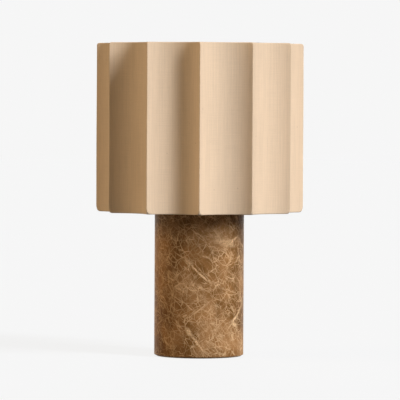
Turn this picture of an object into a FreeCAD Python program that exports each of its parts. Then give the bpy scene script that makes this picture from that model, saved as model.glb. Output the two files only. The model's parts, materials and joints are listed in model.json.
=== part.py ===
"""Column table lamp: a fluted fabric shade on a turned marble column.

Millimetres, +Z up, origin on the table under the middle of the felt. One ridge of the
shade faces the front (-Y) and the cable leaves at the back (+Y).
"""
import FreeCAD, Part
import math
import os

import Sketcher
from FreeCAD import Placement, Rotation, Vector

# Driving dimensions: name, millimetres (or a count or degrees), what it is
SIZES = (
    # marble column and what clamps it
    ("column_diameter", 121, "marble cylinder"),
    ("column_height", 203.5, "marble, without the felt"),
    ("column_bottom_ease", 2.4, "eased bottom edge"),
    ("column_top_ease", 0.8, "eased top edge"),
    ("column_bore", 14, "drilled hole along the axis"),
    ("recess_diameter", 52, "counterbore under the column"),
    ("recess_depth", 22, "counterbore, measured from the marble's underside"),
    ("cable_hole_diameter", 10, "from the recess out to the back"),
    ("cable_hole_height", 11, "its centre above the marble's underside"),
    ("spot_face_depth", 0.8, "flat for the bush's flange"),
    ("spot_face_margin", 0.4, "spot face beyond the flange, all round"),
    ("felt_thick", 1.5, "felt pad"),
    ("felt_inset", 3, "felt edge inside the marble's edge"),
    ("bush_bore", 7, "room for the cable"),
    ("bush_length", 12, "inside the marble"),
    ("bush_flange_diameter", 16, "flange outside"),
    ("bush_flange_thick", 2, "flange outside"),
    ("bush_lip", 0.8, "eased edges of the flange"),
    ("tube_outer", 10, "all-thread tube"),
    ("tube_inner", 7.6, "all-thread tube"),
    ("tube_tail", 3, "tube left below the nut"),
    ("thread_gap", 0.05, "radial gap between mating threads"),
    ("washer_diameter", 38, "plain washer"),
    ("washer_thick", 2, "plain washer"),
    ("washer_hole", 10.6, "plain washer and lock washer"),
    ("lock_washer_diameter", 18, "spring lock washer"),
    ("lock_washer_thick", 1.4, "spring lock washer"),
    ("nut_corners", 16.2, "across the corners of the hexagon"),
    ("nut_thick", 4, "hexagon nut"),
    # metal cap on the column
    ("gasket_diameter", 54, "cork washer under the cap"),
    ("gasket_thick", 1, "cork washer under the cap"),
    ("cap_diameter", 58, "turned cap"),
    ("cap_flange_thick", 3, "flat flange of the cap"),
    ("cap_hub_diameter", 24, "hub of the cap"),
    ("cap_hub_height", 4, "hub above the flange"),
    ("cap_cove", 2.5, "cove from the flange up to the hub"),
    ("locknut_diameter", 18, "round locknut"),
    ("locknut_thick", 5, "round locknut"),
    # lamp holder
    ("dome_neck_diameter", 16, "neck with the tube's thread"),
    ("dome_neck_height", 8, "neck with the tube's thread"),
    ("dome_diameter", 39, "bell of the dome"),
    ("dome_bell_height", 12, "from the neck to the skirt's edge"),
    ("dome_brow", 4, "sloping top of the bell"),
    ("dome_wall", 1.8, "bell and spigot"),
    ("spigot_diameter", 35.2, "thread that carries the skirt"),
    ("spigot_height", 6, "thread that carries the skirt"),
    ("grub_screw_diameter", 3, "set screw in the neck"),
    ("grub_screw_length", 4, "set screw in the neck"),
    ("grub_screw_gap", 0.1, "radial gap round the set screw"),
    ("insert_clearance", 0.2, "radial gap between the insert and the dome"),
    ("insert_depth", 10, "insert inside the dome"),
    ("insert_flange_thick", 3, "flange on the dome's rim"),
    ("insert_flange_gap", 0.2, "radial gap round that flange"),
    ("terminal_spacing", 18, "between the two terminal screws"),
    ("terminal_diameter", 3, "shank of a terminal screw"),
    ("terminal_head_diameter", 5.4, "head of a terminal screw"),
    ("terminal_head_height", 2, "head of a terminal screw"),
    ("terminal_depth", 6, "shank inside the insert"),
    ("skirt_diameter", 39.8, "outside thread for the shade rings"),
    ("skirt_height", 40, "skirt"),
    ("skirt_mouth", 30, "opening at the top of the skirt"),
    ("skirt_chamfer", 1, "top edge of the skirt"),
    ("shell_inner", 27, "screw shell, inside"),
    ("shell_wall", 0.4, "screw shell"),
    ("shell_height", 22, "screw shell"),
    ("shell_floor_hole", 19, "hole in the shell's floor"),
    ("contact_width", 5, "centre contact strip"),
    ("contact_thick", 0.6, "centre contact strip"),
    ("contact_root", 0.7, "height of the strip's end at its root"),
    ("contact_rise", 4, "top of the contact above the insert"),
    ("contact_run", 9, "from the contact's root to its middle"),
    # shade rings
    ("ring_diameter", 56, "flange of a shade ring"),
    ("ring_flange_thick", 2, "flange of a shade ring"),
    ("ring_hub_diameter", 47, "hub of a shade ring"),
    ("ring_height", 8, "whole shade ring"),
    ("ring_thread_gap", 0.15, "radial gap to the skirt's thread"),
    ("ring_grip_count", 12, "finger grips round the hub"),
    ("ring_grip_diameter", 6, "scallop of one finger grip"),
    ("ring_grip_depth", 1, "scallop of one finger grip"),
    # shade
    ("shade_bottom", 195, "shade's lower edge above the table"),
    ("shade_height", 228, "shade"),
    ("shade_diameter", 280, "across the ridges"),
    ("ridge_nose", 1, "outside radius of a ridge"),
    ("flute_count", 12, "concave flutes"),
    ("flute_depth", 15.8, "from the line between two noses' centres to the valley beside it"),
    ("cover_thick", 1, "fabric on its card backing"),
    ("liner_thick", 0.5, "white lining"),
    ("ring_wire", 3, "wire of the scalloped rings"),
    ("rib_wire", 2.4, "wire of the ribs"),
    ("frame_gap", 0.05, "between the wires and the lining"),
    ("hem", 1, "cover's edge turned in below and above the rings"),
    ("fitter_rise", 61, "underside of the fitter plate above the shade's edge"),
    ("fitter_hole", 42, "fitter plate, inside"),
    ("fitter_diameter", 64, "fitter plate, outside"),
    ("fitter_thick", 1.5, "fitter plate"),
    ("arm_count", 4, "arms from the fitter plate to the bottom ring"),
    ("arm_wire", 3.5, "wire of the arms"),
    ("arm_start_gap", 0.6, "between an arm's end and the lower shade ring"),
    ("arm_seat_run", 6, "straight run of an arm under the fitter plate"),
    ("arm_foot_run", 5, "straight run of an arm at the bottom ring"),
    ("arm_bend", 8, "radius of an arm's bends"),
    # bulb
    ("contact_gap", 0.1, "between the bulb's tip and the contact"),
    ("tip_diameter", 10, "bulb's centre contact"),
    ("tip_thick", 1, "bulb's centre contact"),
    ("insulator_diameter", 21, "where the insulator meets the bulb's cap"),
    ("insulator_small_diameter", 14, "where the insulator meets the tip"),
    ("insulator_height", 5.5, "bulb's insulator"),
    ("bulb_cap_diameter", 26.3, "screw cap"),
    ("bulb_cap_wall", 0.4, "screw cap"),
    ("bulb_cap_height", 21, "screw cap"),
    ("neck_gap", 0.2, "cement between the glass and the cap"),
    ("neck_depth", 6, "glass inside the cap"),
    ("glass_wall", 0.8, "bulb glass"),
    ("glass_diameter", 35, "widest place of the glass"),
    ("glass_wide_height", 27, "widest place above the cap"),
    ("glass_height", 73, "glass above the cap"),
    ("stem_diameter", 5, "glass stem"),
    ("stem_height", 24, "glass stem above the neck"),
    ("stem_flare_height", 4, "flared foot of the stem"),
    ("filament_count", 4, "filament sticks"),
    ("filament_diameter", 1.8, "filament sticks"),
    ("filament_length", 30, "filament sticks"),
    ("filament_circle", 12, "circle the filaments stand on"),
    ("star_wire", 0.8, "cross of wires above and below the filaments"),
    ("driver_width", 15, "driver board in the cap"),
    ("driver_height", 12, "driver board in the cap"),
    ("driver_thick", 1.2, "driver board in the cap"),
    ("capacitor_diameter", 5, "capacitor on the driver board"),
    ("capacitor_length", 9, "capacitor on the driver board"),
)

DOC = FreeCAD.newDocument("ColumnTableLamp")
SHEET = DOC.addObject("Spreadsheet::Sheet", "Sizes")
for row, (alias, number, note) in enumerate(SIZES, start=1):
    SHEET.set(f"A{row}", alias)
    SHEET.set(f"B{row}", str(number))
    SHEET.set(f"C{row}", note)
    SHEET.setAlias(f"B{row}", alias)
DOC.recompute()

PARTS = []  # the finished sub-parts, in the order they are made
UP = Vector(0, 0, 1)
ROUND_OFF = 1e-6


def value(expression):
    """The number that an expression over the sheet gives now."""
    return float(SHEET.evalExpression(str(expression)))


def var_set(name, formulas):
    """A set of worked-out dimensions, each bound to its formula."""
    holder = DOC.addObject("App::VarSet", name)
    for key, formula in formulas:
        holder.addProperty("App::PropertyFloat", key, name)
        holder.setExpression(key, formula)
    DOC.recompute()
    return holder


# Heights above the table of the faces where one piece sits on another
LEVELS = var_set("Levels", (
    ("column_bottom", "Sizes.felt_thick"),
    ("column_top", "column_bottom + Sizes.column_height"),
    ("recess_top", "column_bottom + Sizes.recess_depth"),
    ("washer_bottom", "recess_top - Sizes.washer_thick"),
    ("lock_washer_bottom", "washer_bottom - Sizes.lock_washer_thick"),
    ("nut_bottom", "lock_washer_bottom - Sizes.nut_thick"),
    ("tube_bottom", "nut_bottom - Sizes.tube_tail"),
    ("cap_bottom", "column_top + Sizes.gasket_thick"),
    ("cap_top", "cap_bottom + Sizes.cap_flange_thick + Sizes.cap_hub_height"),
    ("dome_bottom", "cap_top + Sizes.locknut_thick"),
    ("tube_top", "dome_bottom + Sizes.dome_neck_height"),
    ("dome_shoulder", "tube_top + Sizes.dome_bell_height"),
    ("dome_rim", "dome_shoulder + Sizes.spigot_height"),
    ("insert_bottom", "dome_rim - Sizes.insert_depth"),
    ("insert_top", "dome_rim + Sizes.insert_flange_thick"),
    ("contact_top", "insert_top + Sizes.contact_rise"),
    ("bulb_bottom", "contact_top + Sizes.contact_gap"),
    ("insulator_bottom", "bulb_bottom + Sizes.tip_thick"),
    ("bulb_cap_bottom", "insulator_bottom + Sizes.insulator_height"),
    ("bulb_cap_top", "bulb_cap_bottom + Sizes.bulb_cap_height"),
    ("neck_bottom", "bulb_cap_top - Sizes.neck_depth"),
    ("filament_bottom", "neck_bottom + Sizes.stem_height + Sizes.star_wire"),
    ("fitter_bottom", "Sizes.shade_bottom + Sizes.fitter_rise"),
    ("fitter_top", "fitter_bottom + Sizes.fitter_thick"),
    ("bottom_ring", "Sizes.shade_bottom + Sizes.hem"),
    ("top_ring", "Sizes.shade_bottom + Sizes.shade_height - Sizes.hem - Sizes.ring_wire"),
))

# The shade's outline: circular flutes that meet in narrow rounded ridges. Each outline further
# in is a set of arcs about the same centres, with the arc radius longer by the inset, and
# meets in sharp corners.
OUTLINES = (
    ("liner", "Sizes.cover_thick"),
    ("inside", "Sizes.cover_thick + Sizes.liner_thick"),
    ("wire_outer", "Sizes.cover_thick + Sizes.liner_thick + Sizes.frame_gap"),
    ("wire_outer_flat", "wire_outer_inset + Sizes.ring_wire / 4"),
    ("wire_inner_flat", "wire_outer_inset + Sizes.ring_wire * 3 / 4"),
    ("wire_inner", "wire_outer_inset + Sizes.ring_wire"),
    ("rib", "wire_outer_inset + Sizes.rib_wire / 2"),
)


def outline_formulas(key, inset):
    """The inset, the arc radius and the ridge's distance from the axis for one outline."""
    reach = f"sqrt({key}_arc^2 - (arc_axis * sin(half_pitch))^2)"
    return (
        (f"{key}_inset", inset),
        (f"{key}_arc", f"arc_radius + {key}_inset"),
        (f"{key}_ridge", f"arc_axis * cos(half_pitch) - {reach}"),
    )


FLUTES = var_set("Flutes", (
    ("half_pitch", "180 / Sizes.flute_count"),
    ("nose_circle", "Sizes.shade_diameter / 2 - Sizes.ridge_nose"),
    ("half_chord", "nose_circle * sin(half_pitch)"),
    ("nose_arc", "(half_chord^2 + Sizes.flute_depth^2) / (2 * Sizes.flute_depth)"),
    ("arc_radius", "nose_arc - Sizes.ridge_nose"),
    ("arc_axis", "nose_circle * cos(half_pitch) - Sizes.flute_depth + nose_arc"),
    ("front", "-90"),
) + tuple(line for key, inset in OUTLINES for line in outline_formulas(key, inset)))
FLUTE_COUNT = int(value("Sizes.flute_count"))


# --- helpers ------------------------------------------------------------------------------

def finish(part, name, level=None):
    """Name a sub-part, stand it on its level and list it."""
    part.Label = name
    if level is not None:
        part.setExpression("Placement.Base.z", level)
    PARTS.append(part)
    return part


def new_body(name):
    return DOC.addObject("PartDesign::Body", name)


def origin_item(body, role):
    """One of the body's own planes or axes."""
    return next(item for item in body.Origin.OriginFeatures if item.Role == role)


def new_sketch(body, name, role="XZ_Plane", offset=None):
    """A sketch on one of the body's own planes, at an offset along the plane's normal."""
    sketch = body.newObject("Sketcher::SketchObject", f"{body.Name}_{name}")
    sketch.AttachmentSupport = [(origin_item(body, role), "")]
    sketch.MapMode = "FlatFace"
    if offset is not None:
        sketch.setExpression("AttachmentOffset.Base.z", offset)
    return sketch


def bind(sketch, constraint, name, expression):
    """Add a dimension to a sketch and tie it to an expression."""
    index = sketch.addConstraint(constraint)
    sketch.renameConstraint(index, name)
    sketch.setExpression(f"Constraints.{name}", expression)


def pin_point(sketch, edge, end, name, across, up):
    """Fix one end of an edge at two expressions, or on an axis where one is 0."""
    if across == "0":
        sketch.addConstraint(Sketcher.Constraint("PointOnObject", edge, end, -2))
    else:
        place = Sketcher.Constraint("DistanceX", -1, 1, edge, end, value(across))
        bind(sketch, place, f"{name}_x", across)
    if up == "0":
        sketch.addConstraint(Sketcher.Constraint("PointOnObject", edge, end, -1))
    else:
        place = Sketcher.Constraint("DistanceY", -1, 1, edge, end, value(up))
        bind(sketch, place, f"{name}_y", up)


def arc_through(start, end, radius, hollow):
    """The arc under a half circle from start to end; hollow bends it the other way."""
    chord = end - start
    half = chord.Length / 2
    sag = radius - math.sqrt(radius ** 2 - half ** 2)
    side = Vector(-chord.y, chord.x, 0).normalize() * (sag if hollow else -sag)
    return Part.ArcOfCircle(start, start + chord * 0.5 + side, end)


def outline(sketch, corners):
    """A closed outline through corners (across, up), run counterclockwise.

    A corner may carry a third item, the radius of an arc to the next corner: plain for a
    bulging arc, and ("hollow", radius) for one that bends inwards.
    """
    points = [Vector(value(corner[0]), value(corner[1]), 0) for corner in corners]
    for index, corner in enumerate(corners):
        start, end = points[index], points[(index + 1) % len(points)]
        if len(corner) == 2:
            sketch.addGeometry(Part.LineSegment(start, end), False)
            continue
        hollow = isinstance(corner[2], tuple)
        radius = corner[2][1] if hollow else corner[2]
        sketch.addGeometry(arc_through(start, end, value(radius), hollow), False)
        bind(sketch, Sketcher.Constraint("Radius", index, value(radius)), f"arc_{index}", radius)
    count = len(corners)

    def end_at(edge, point):
        return 1 if sketch.getPoint(edge, 1).distanceToPoint(point) < ROUND_OFF else 2

    for index, corner in enumerate(corners):
        before, here = (index - 1) % count, points[index]
        ends = (before, end_at(before, here), index, end_at(index, here))
        sketch.addConstraint(Sketcher.Constraint("Coincident", *ends))
        pin_point(sketch, index, end_at(index, here), f"corner_{index}", corner[0], corner[1])


def circle(sketch, diameter, across="0", up="0"):
    """A circle with its centre and diameter bound to the sheet."""
    centre = Vector(value(across), value(up), 0)
    index = sketch.addGeometry(Part.Circle(centre, UP, value(diameter) / 2), False)
    size = Sketcher.Constraint("Diameter", index, value(diameter))
    bind(sketch, size, f"diameter_{index}", diameter)
    pin_point(sketch, index, 3, f"centre_{index}", across, up)


def turn(body, corners):
    """Revolve an outline of (radius, height) about the body's axis."""
    sketch = new_sketch(body, "profile")
    outline(sketch, corners)
    feature = body.newObject("PartDesign::Revolution", f"{body.Name}_turned")
    feature.Profile = sketch
    feature.ReferenceAxis = (sketch, ["V_Axis"])
    feature.Angle = 360
    return feature


def turned(name, level, corners):
    """A sub-part made on the lathe."""
    body = new_body(name)
    turn(body, corners)
    return finish(body, name, level)


def cut(body, name, sketch, length=None, upwards=False):
    """Pocket a sketch, through all or to a length, and check that it took something away."""
    DOC.recompute()
    before = body.Shape.Volume
    feature = body.newObject("PartDesign::Pocket", f"{body.Name}_{name}")
    feature.Profile = sketch
    feature.Reversed = upwards
    if length is None:
        feature.Type = "ThroughAll"
    else:
        feature.setExpression("Length", length)
    DOC.recompute()
    if body.Shape.Volume > before - ROUND_OFF:
        raise ValueError(f"{body.Name}: {name} cuts nothing")
    return feature


def repeat(body, feature, count):
    """Copy a feature round the body's axis."""
    pattern = body.newObject("PartDesign::PolarPattern", f"{feature.Name}_pattern")
    pattern.Originals = [feature]
    pattern.Axis = (origin_item(body, "Z_Axis"), [""])
    pattern.Angle = 360
    pattern.setExpression("Occurrences", count)
    body.Tip = pattern
    return pattern


def disc(name, diameter, thick, level, hole=None):
    """A flat round plate, with or without a hole."""
    body = new_body(name)
    sketch = new_sketch(body, "plan", "XY_Plane")
    circle(sketch, diameter)
    if hole is not None:
        circle(sketch, hole)
    pad = body.newObject("PartDesign::Pad", f"{name}_pad")
    pad.Profile = sketch
    pad.setExpression("Length", thick)
    return finish(body, name, level)


def primitive(kind, name, **sizes):
    """A Part primitive with its sizes bound to the sheet."""
    item = DOC.addObject(f"Part::{kind}", name)
    for key, expression in sizes.items():
        item.setExpression(key, expression)
    return item


# --- marble column and what clamps it -------------------------------------------------------

def make_felt():
    edge = "(Sizes.column_diameter - 2 * Sizes.felt_inset)"
    disc("base_felt", edge, "Sizes.felt_thick", None)


def make_column():
    """Turned marble: recess below, bore along the axis, cable hole and spot face behind."""
    name = "marble_column"
    body = new_body(name)
    outer, bore, recess = (f"Sizes.{key} / 2" for key in
                           ("column_diameter", "column_bore", "recess_diameter"))
    ease = "Sizes.column_bottom_ease"
    turn(body, (
        (recess, "0"),
        (f"{outer} - {ease}", "0"),
        (f"{outer} - {ease} * (1 - sin(45))", f"{ease} * (1 - cos(45))"),
        (outer, ease),
        (outer, "Sizes.column_height - Sizes.column_top_ease"),
        (f"{outer} - Sizes.column_top_ease", "Sizes.column_height"),
        (bore, "Sizes.column_height"),
        (bore, "Sizes.recess_depth"),
        (recess, "Sizes.recess_depth"),
    ))
    hole = new_sketch(body, "cable_hole")
    circle(hole, "Sizes.cable_hole_diameter", "0", "Sizes.cable_hole_height")
    cut(body, "cable_hole_cut", hole, "Sizes.column_diameter")
    face = new_sketch(body, "spot_face", offset=f"Sizes.spot_face_depth - {outer}")
    wide = "(Sizes.bush_flange_diameter + 2 * Sizes.spot_face_margin)"
    circle(face, wide, "0", "Sizes.cable_hole_height")
    cut(body, "spot_face_cut", face, "Sizes.column_diameter")
    finish(body, name, "Levels.column_bottom")


def make_bush():
    """Flanged bush for the cable, turned on its own axis and laid down to face the back."""
    name = "cable_bush"
    body = new_body(name)
    bore, flange = "Sizes.bush_bore / 2", "Sizes.bush_flange_diameter / 2"
    barrel = "(Sizes.cable_hole_diameter / 2 - Sizes.frame_gap)"
    whole = "(Sizes.bush_length + Sizes.bush_flange_thick)"
    lip = "Sizes.bush_lip"
    turn(body, (
        (bore, "0"),
        (barrel, "0"),
        (barrel, "Sizes.bush_length"),
        (flange, "Sizes.bush_length"),
        (flange, f"{whole} - {lip}"),
        (f"{flange} - {lip}", whole),
        (f"{bore} + {lip}", whole),
        (bore, f"{whole} - {lip}"),
    ))
    body.Placement = Placement(Vector(), Rotation(Vector(1, 0, 0), -90))
    seat = "Sizes.column_diameter / 2 - Sizes.spot_face_depth - Sizes.bush_length"
    body.setExpression("Placement.Base.y", seat)
    finish(body, name, "Levels.column_bottom + Sizes.cable_hole_height")


def make_clamp():
    """Threaded tube with the washer, lock washer and nut that draw the column together."""
    disc("threaded_tube", "Sizes.tube_outer", "(Levels.tube_top - Levels.tube_bottom)",
         "Levels.tube_bottom", "Sizes.tube_inner")
    disc("base_washer", "Sizes.washer_diameter", "Sizes.washer_thick",
         "Levels.washer_bottom", "Sizes.washer_hole")
    disc("base_lock_washer", "Sizes.lock_washer_diameter", "Sizes.lock_washer_thick",
         "Levels.lock_washer_bottom", "Sizes.washer_hole")
    hexagon = primitive("Prism", "nut_hexagon", Circumradius="Sizes.nut_corners / 2",
                        Height="Sizes.nut_thick")
    hexagon.Polygon = 6
    thread = primitive("Cylinder", "nut_thread", Height="Sizes.nut_thick",
                       Radius="Sizes.tube_outer / 2 + Sizes.thread_gap")
    nut = DOC.addObject("Part::Cut", "base_nut")
    nut.Base, nut.Tool = hexagon, thread
    finish(nut, "base_nut", "Levels.nut_bottom")


def make_cap():
    """Cork washer, turned metal cap and round locknut on top of the marble."""
    hole = "(Sizes.tube_outer / 2 + Sizes.thread_gap)"
    hub, rim = "Sizes.cap_hub_diameter / 2", "Sizes.cap_diameter / 2"
    flange, cove = "Sizes.cap_flange_thick", "Sizes.cap_cove"
    top = "(Sizes.cap_flange_thick + Sizes.cap_hub_height)"
    disc("cap_gasket", "Sizes.gasket_diameter", "Sizes.gasket_thick",
         "Levels.column_top", "Sizes.washer_hole")
    turned("column_cap", "Levels.cap_bottom", (
        (hole, "0"),
        (rim, "0"),
        (rim, f"{flange} / 2"),
        (f"{rim} - {flange} / 2", flange),
        (f"{hub} + {cove}", flange),
        (f"{hub} + {cove} * (1 - sin(45))", f"{flange} + {cove} * (1 - cos(45))"),
        (hub, f"{flange} + {cove}"),
        (hub, top),
        (hole, top),
    ))
    disc("holder_locknut", "Sizes.locknut_diameter", "Sizes.locknut_thick",
         "Levels.cap_top", f"2 * {hole}")


# --- lamp holder ----------------------------------------------------------------------------

def make_dome():
    """Moulded dome: threaded neck, bell and the spigot that takes the skirt."""
    name = "holder_dome"
    body = new_body(name)
    neck, bell = "Sizes.dome_neck_diameter / 2", "Sizes.dome_diameter / 2"
    spigot, wall = "Sizes.spigot_diameter / 2", "Sizes.dome_wall"
    thread = "(Sizes.tube_outer / 2 + Sizes.thread_gap)"
    shoulder = "(Sizes.dome_neck_height + Sizes.dome_bell_height)"
    rim = f"({shoulder} + Sizes.spigot_height)"
    turn(body, (
        (thread, "0"),
        (neck, "0"),
        (neck, "Sizes.dome_neck_height"),
        (f"{bell} - Sizes.dome_brow", "Sizes.dome_neck_height + Sizes.dome_brow"),
        (bell, "Sizes.dome_neck_height + 2 * Sizes.dome_brow"),
        (bell, shoulder),
        (spigot, shoulder),
        (spigot, rim),
        (f"{spigot} - {wall}", rim),
        (f"{spigot} - {wall}", f"{rim} - Sizes.insert_depth - Sizes.insert_clearance"),
        (neck, f"Sizes.dome_neck_height + {wall}"),
        (thread, f"Sizes.dome_neck_height + {wall}"),
    ))
    grub = new_sketch(body, "grub_hole")
    circle(grub, "(Sizes.grub_screw_diameter + 2 * Sizes.grub_screw_gap)", "0",
           "Sizes.dome_neck_height / 2")
    cut(body, "grub_hole_cut", grub, "Sizes.dome_neck_diameter")
    finish(body, name, "Levels.dome_bottom")

    screw = primitive("Cylinder", "holder_set_screw", Radius="Sizes.grub_screw_diameter / 2",
                      Height="Sizes.grub_screw_length")
    screw.Placement = Placement(Vector(), Rotation(Vector(1, 0, 0), -90))
    screw.setExpression("Placement.Base.y", thread)
    finish(screw, "holder_set_screw", "Levels.dome_bottom + Sizes.dome_neck_height / 2")


def make_insert():
    """Ceramic insert with its terminals, screw shell and sprung centre contact."""
    name = "holder_insert"
    body = new_body(name)
    drum = "(Sizes.spigot_diameter / 2 - Sizes.dome_wall - Sizes.insert_clearance)"
    flange = "(Sizes.spigot_diameter / 2 + Sizes.thread_gap - Sizes.insert_flange_gap)"
    whole = "(Sizes.insert_depth + Sizes.insert_flange_thick)"
    turn(body, (
        ("0", "0"),
        (drum, "0"),
        (drum, "Sizes.insert_depth"),
        (flange, "Sizes.insert_depth"),
        (flange, whole),
        ("0", whole),
    ))
    holes = new_sketch(body, "terminal_holes", "XY_Plane")
    clear = "(Sizes.terminal_diameter + 2 * Sizes.grub_screw_gap)"
    circle(holes, clear, "Sizes.terminal_spacing / 2")
    circle(holes, clear, "-Sizes.terminal_spacing / 2")
    cut(body, "terminal_holes_cut", holes, "Sizes.terminal_depth", upwards=True)
    finish(body, name, "Levels.insert_bottom")


def make_terminals():
    """Two terminal screws that hold the cable's cores under the insert."""
    screws = []
    for side, sign in (("left", "-"), ("right", "")):
        shank = primitive("Cylinder", f"terminal_{side}_shank",
                          Radius="Sizes.terminal_diameter / 2", Height="Sizes.terminal_depth")
        head = primitive("Cylinder", f"terminal_{side}_head",
                         Radius="Sizes.terminal_head_diameter / 2",
                         Height="Sizes.terminal_head_height")
        head.setExpression("Placement.Base.z", "-Sizes.terminal_head_height")
        for item in (shank, head):
            item.setExpression("Placement.Base.x", f"{sign}Sizes.terminal_spacing / 2")
        screw = DOC.addObject("Part::Fuse", f"terminal_{side}")
        screw.Base, screw.Tool = head, shank
        screws.append(screw)
    pair = DOC.addObject("Part::Compound", "terminal_screws")
    pair.Links = screws
    finish(pair, "terminal_screws", "Levels.insert_bottom")


def make_shell():
    """Brass screw shell on the insert, with an inward floor."""
    inner = "Sizes.shell_inner / 2"
    outer = "(Sizes.shell_inner / 2 + Sizes.shell_wall)"
    turned("holder_shell", "Levels.insert_top", (
        ("Sizes.shell_floor_hole / 2", "0"),
        (outer, "0"),
        (outer, "Sizes.shell_height"),
        (inner, "Sizes.shell_height"),
        (inner, "Sizes.shell_wall"),
        ("Sizes.shell_floor_hole / 2", "Sizes.shell_wall"),
    ))


def make_contact():
    """Centre contact: a strip that springs up from its root and ends in a flat pad."""
    name = "holder_centre_contact"
    body = new_body(name)
    run, rise, thick = "Sizes.contact_run", "Sizes.contact_rise", "Sizes.contact_thick"
    pad = "Sizes.contact_width / 2"
    sketch = new_sketch(body, "side")
    outline(sketch, (
        (f"-{run}", "0"),
        (f"-{pad}", f"{rise} - {thick}"),
        (pad, f"{rise} - {thick}"),
        (pad, rise),
        (f"-{pad} - {thick} / 2", rise),
        (f"-{run}", "Sizes.contact_root"),
    ))
    strip = body.newObject("PartDesign::Pad", f"{name}_pad")
    strip.Profile = sketch
    strip.Midplane = True
    strip.setExpression("Length", "Sizes.contact_width")
    finish(body, name, "Levels.insert_top")


def make_skirt():
    """Threaded skirt: screws onto the dome, clamps the insert and carries the shade rings."""
    outer, mouth = "Sizes.skirt_diameter / 2", "Sizes.skirt_mouth / 2"
    inner = "(Sizes.spigot_diameter / 2 + Sizes.thread_gap)"
    ledge = "(Sizes.spigot_height + Sizes.insert_flange_thick)"
    turned("holder_skirt", "Levels.dome_shoulder", (
        (inner, "0"),
        (outer, "0"),
        (outer, "Sizes.skirt_height - Sizes.skirt_chamfer"),
        (f"{outer} - Sizes.skirt_chamfer", "Sizes.skirt_height"),
        (mouth, "Sizes.skirt_height"),
        (mouth, ledge),
        (inner, ledge),
    ))


def make_shade_ring(name, level, flange_up):
    """A shade ring with finger grips; its flange meets the fitter plate."""
    body = new_body(name)
    inner = "(Sizes.skirt_diameter / 2 + Sizes.ring_thread_gap)"
    hub, rim = "Sizes.ring_hub_diameter / 2", "Sizes.ring_diameter / 2"
    flange, whole = "Sizes.ring_flange_thick", "Sizes.ring_height"
    turn(body, (
        (inner, "0"),
        (rim, "0"),
        (rim, flange),
        (hub, flange),
        (hub, whole),
        (inner, whole),
    ))
    grip = new_sketch(body, "grip", "XY_Plane", flange)
    reach = "(Sizes.ring_hub_diameter / 2 + Sizes.ring_grip_diameter / 2 - Sizes.ring_grip_depth)"
    circle(grip, "Sizes.ring_grip_diameter", reach)
    feature = cut(body, "grip_cut", grip, whole, upwards=True)
    repeat(body, feature, "Sizes.ring_grip_count")
    if flange_up:
        body.Placement = Placement(Vector(), Rotation(Vector(1, 0, 0), 180))
    finish(body, name, level)


# --- shade ----------------------------------------------------------------------------------

def ridge_angle(index):
    """Direction of a ridge; half an index more is the flute between two ridges."""
    return f"(Flutes.front + {index} * 2 * Flutes.half_pitch)"


def flute_outline(body, name, key, level):
    """The closed outline of the flutes' arcs, one from each ridge to the next."""
    sketch = new_sketch(body, name, "XY_Plane", level)
    corners = []
    for index in range(FLUTE_COUNT):
        angle = ridge_angle(index)
        corners.append((f"Flutes.{key}_ridge * cos({angle})",
                        f"Flutes.{key}_ridge * sin({angle})",
                        ("hollow", f"Flutes.{key}_arc")))
    outline(sketch, corners)
    return sketch


def nosed_outline(body, name):
    """The outer outline: every ridge is a small arc, tangent to the flutes beside it."""
    sketch = new_sketch(body, name, "XY_Plane")
    corners = []
    for index in range(FLUTE_COUNT):
        ridge = ridge_angle(index)
        for flute, arc in ((index - 0.5, "Sizes.ridge_nose"),
                           (index + 0.5, ("hollow", "Flutes.arc_radius"))):
            # where the nose meets the flute, on the line between their two centres
            corners.append(tuple(
                f"(Flutes.nose_circle * {axis}({ridge}) * Flutes.arc_radius + "
                f"Flutes.arc_axis * {axis}({ridge_angle(flute)}) * Sizes.ridge_nose) / Flutes.nose_arc"
                for axis in ("cos", "sin")) + (arc,))
    outline(sketch, corners)
    return sketch


def make_wall(name, inside, outside=None):
    """A fluted wall as tall as the shade; without an outside key its ridges are rounded."""
    body = new_body(name)
    wall = body.newObject("PartDesign::Pad", f"{name}_pad")
    if outside is None:
        wall.Profile = nosed_outline(body, "outside")
    else:
        wall.Profile = flute_outline(body, "outside", outside, "0")
    wall.setExpression("Length", "Sizes.shade_height")
    cut(body, "hollow", flute_outline(body, "inside", inside, "Sizes.shade_height"))
    finish(body, name, "Sizes.shade_bottom")


def make_wire_ring(name, level):
    """A scalloped wire ring of six-sided section with mitred corners at the ridges."""
    body = new_body(name)
    heights = ("0", "Sizes.ring_wire / 2", "Sizes.ring_wire")

    def loft(kind, label, keys):
        sketches = [flute_outline(body, f"{label}_{place}", key, height)
                    for place, (key, height) in enumerate(zip(keys, heights))]
        feature = body.newObject(f"PartDesign::{kind}Loft", f"{name}_{label}")
        feature.Profile = sketches[0]
        feature.Sections = sketches[1:]
        feature.Ruled = True

    loft("Additive", "outer", ("wire_outer_flat", "wire_outer", "wire_outer_flat"))
    loft("Subtractive", "inner", ("wire_inner_flat", "wire_inner", "wire_inner_flat"))
    finish(body, name, level)


def make_ribs():
    """Twelve upright wires in the ridges, between the two scalloped rings."""
    for index in range(FLUTE_COUNT):
        name = f"rib_{index + 1:02d}"
        rib = primitive("Cylinder", name, Radius="Sizes.rib_wire / 2",
                        Height="Sizes.shade_height - 2 * (Sizes.hem + Sizes.ring_wire)")
        angle = ridge_angle(index)
        rib.setExpression("Placement.Base.x", f"Flutes.rib_ridge * cos({angle})")
        rib.setExpression("Placement.Base.y", f"Flutes.rib_ridge * sin({angle})")
        finish(rib, name, "Levels.bottom_ring + Sizes.ring_wire")


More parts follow.
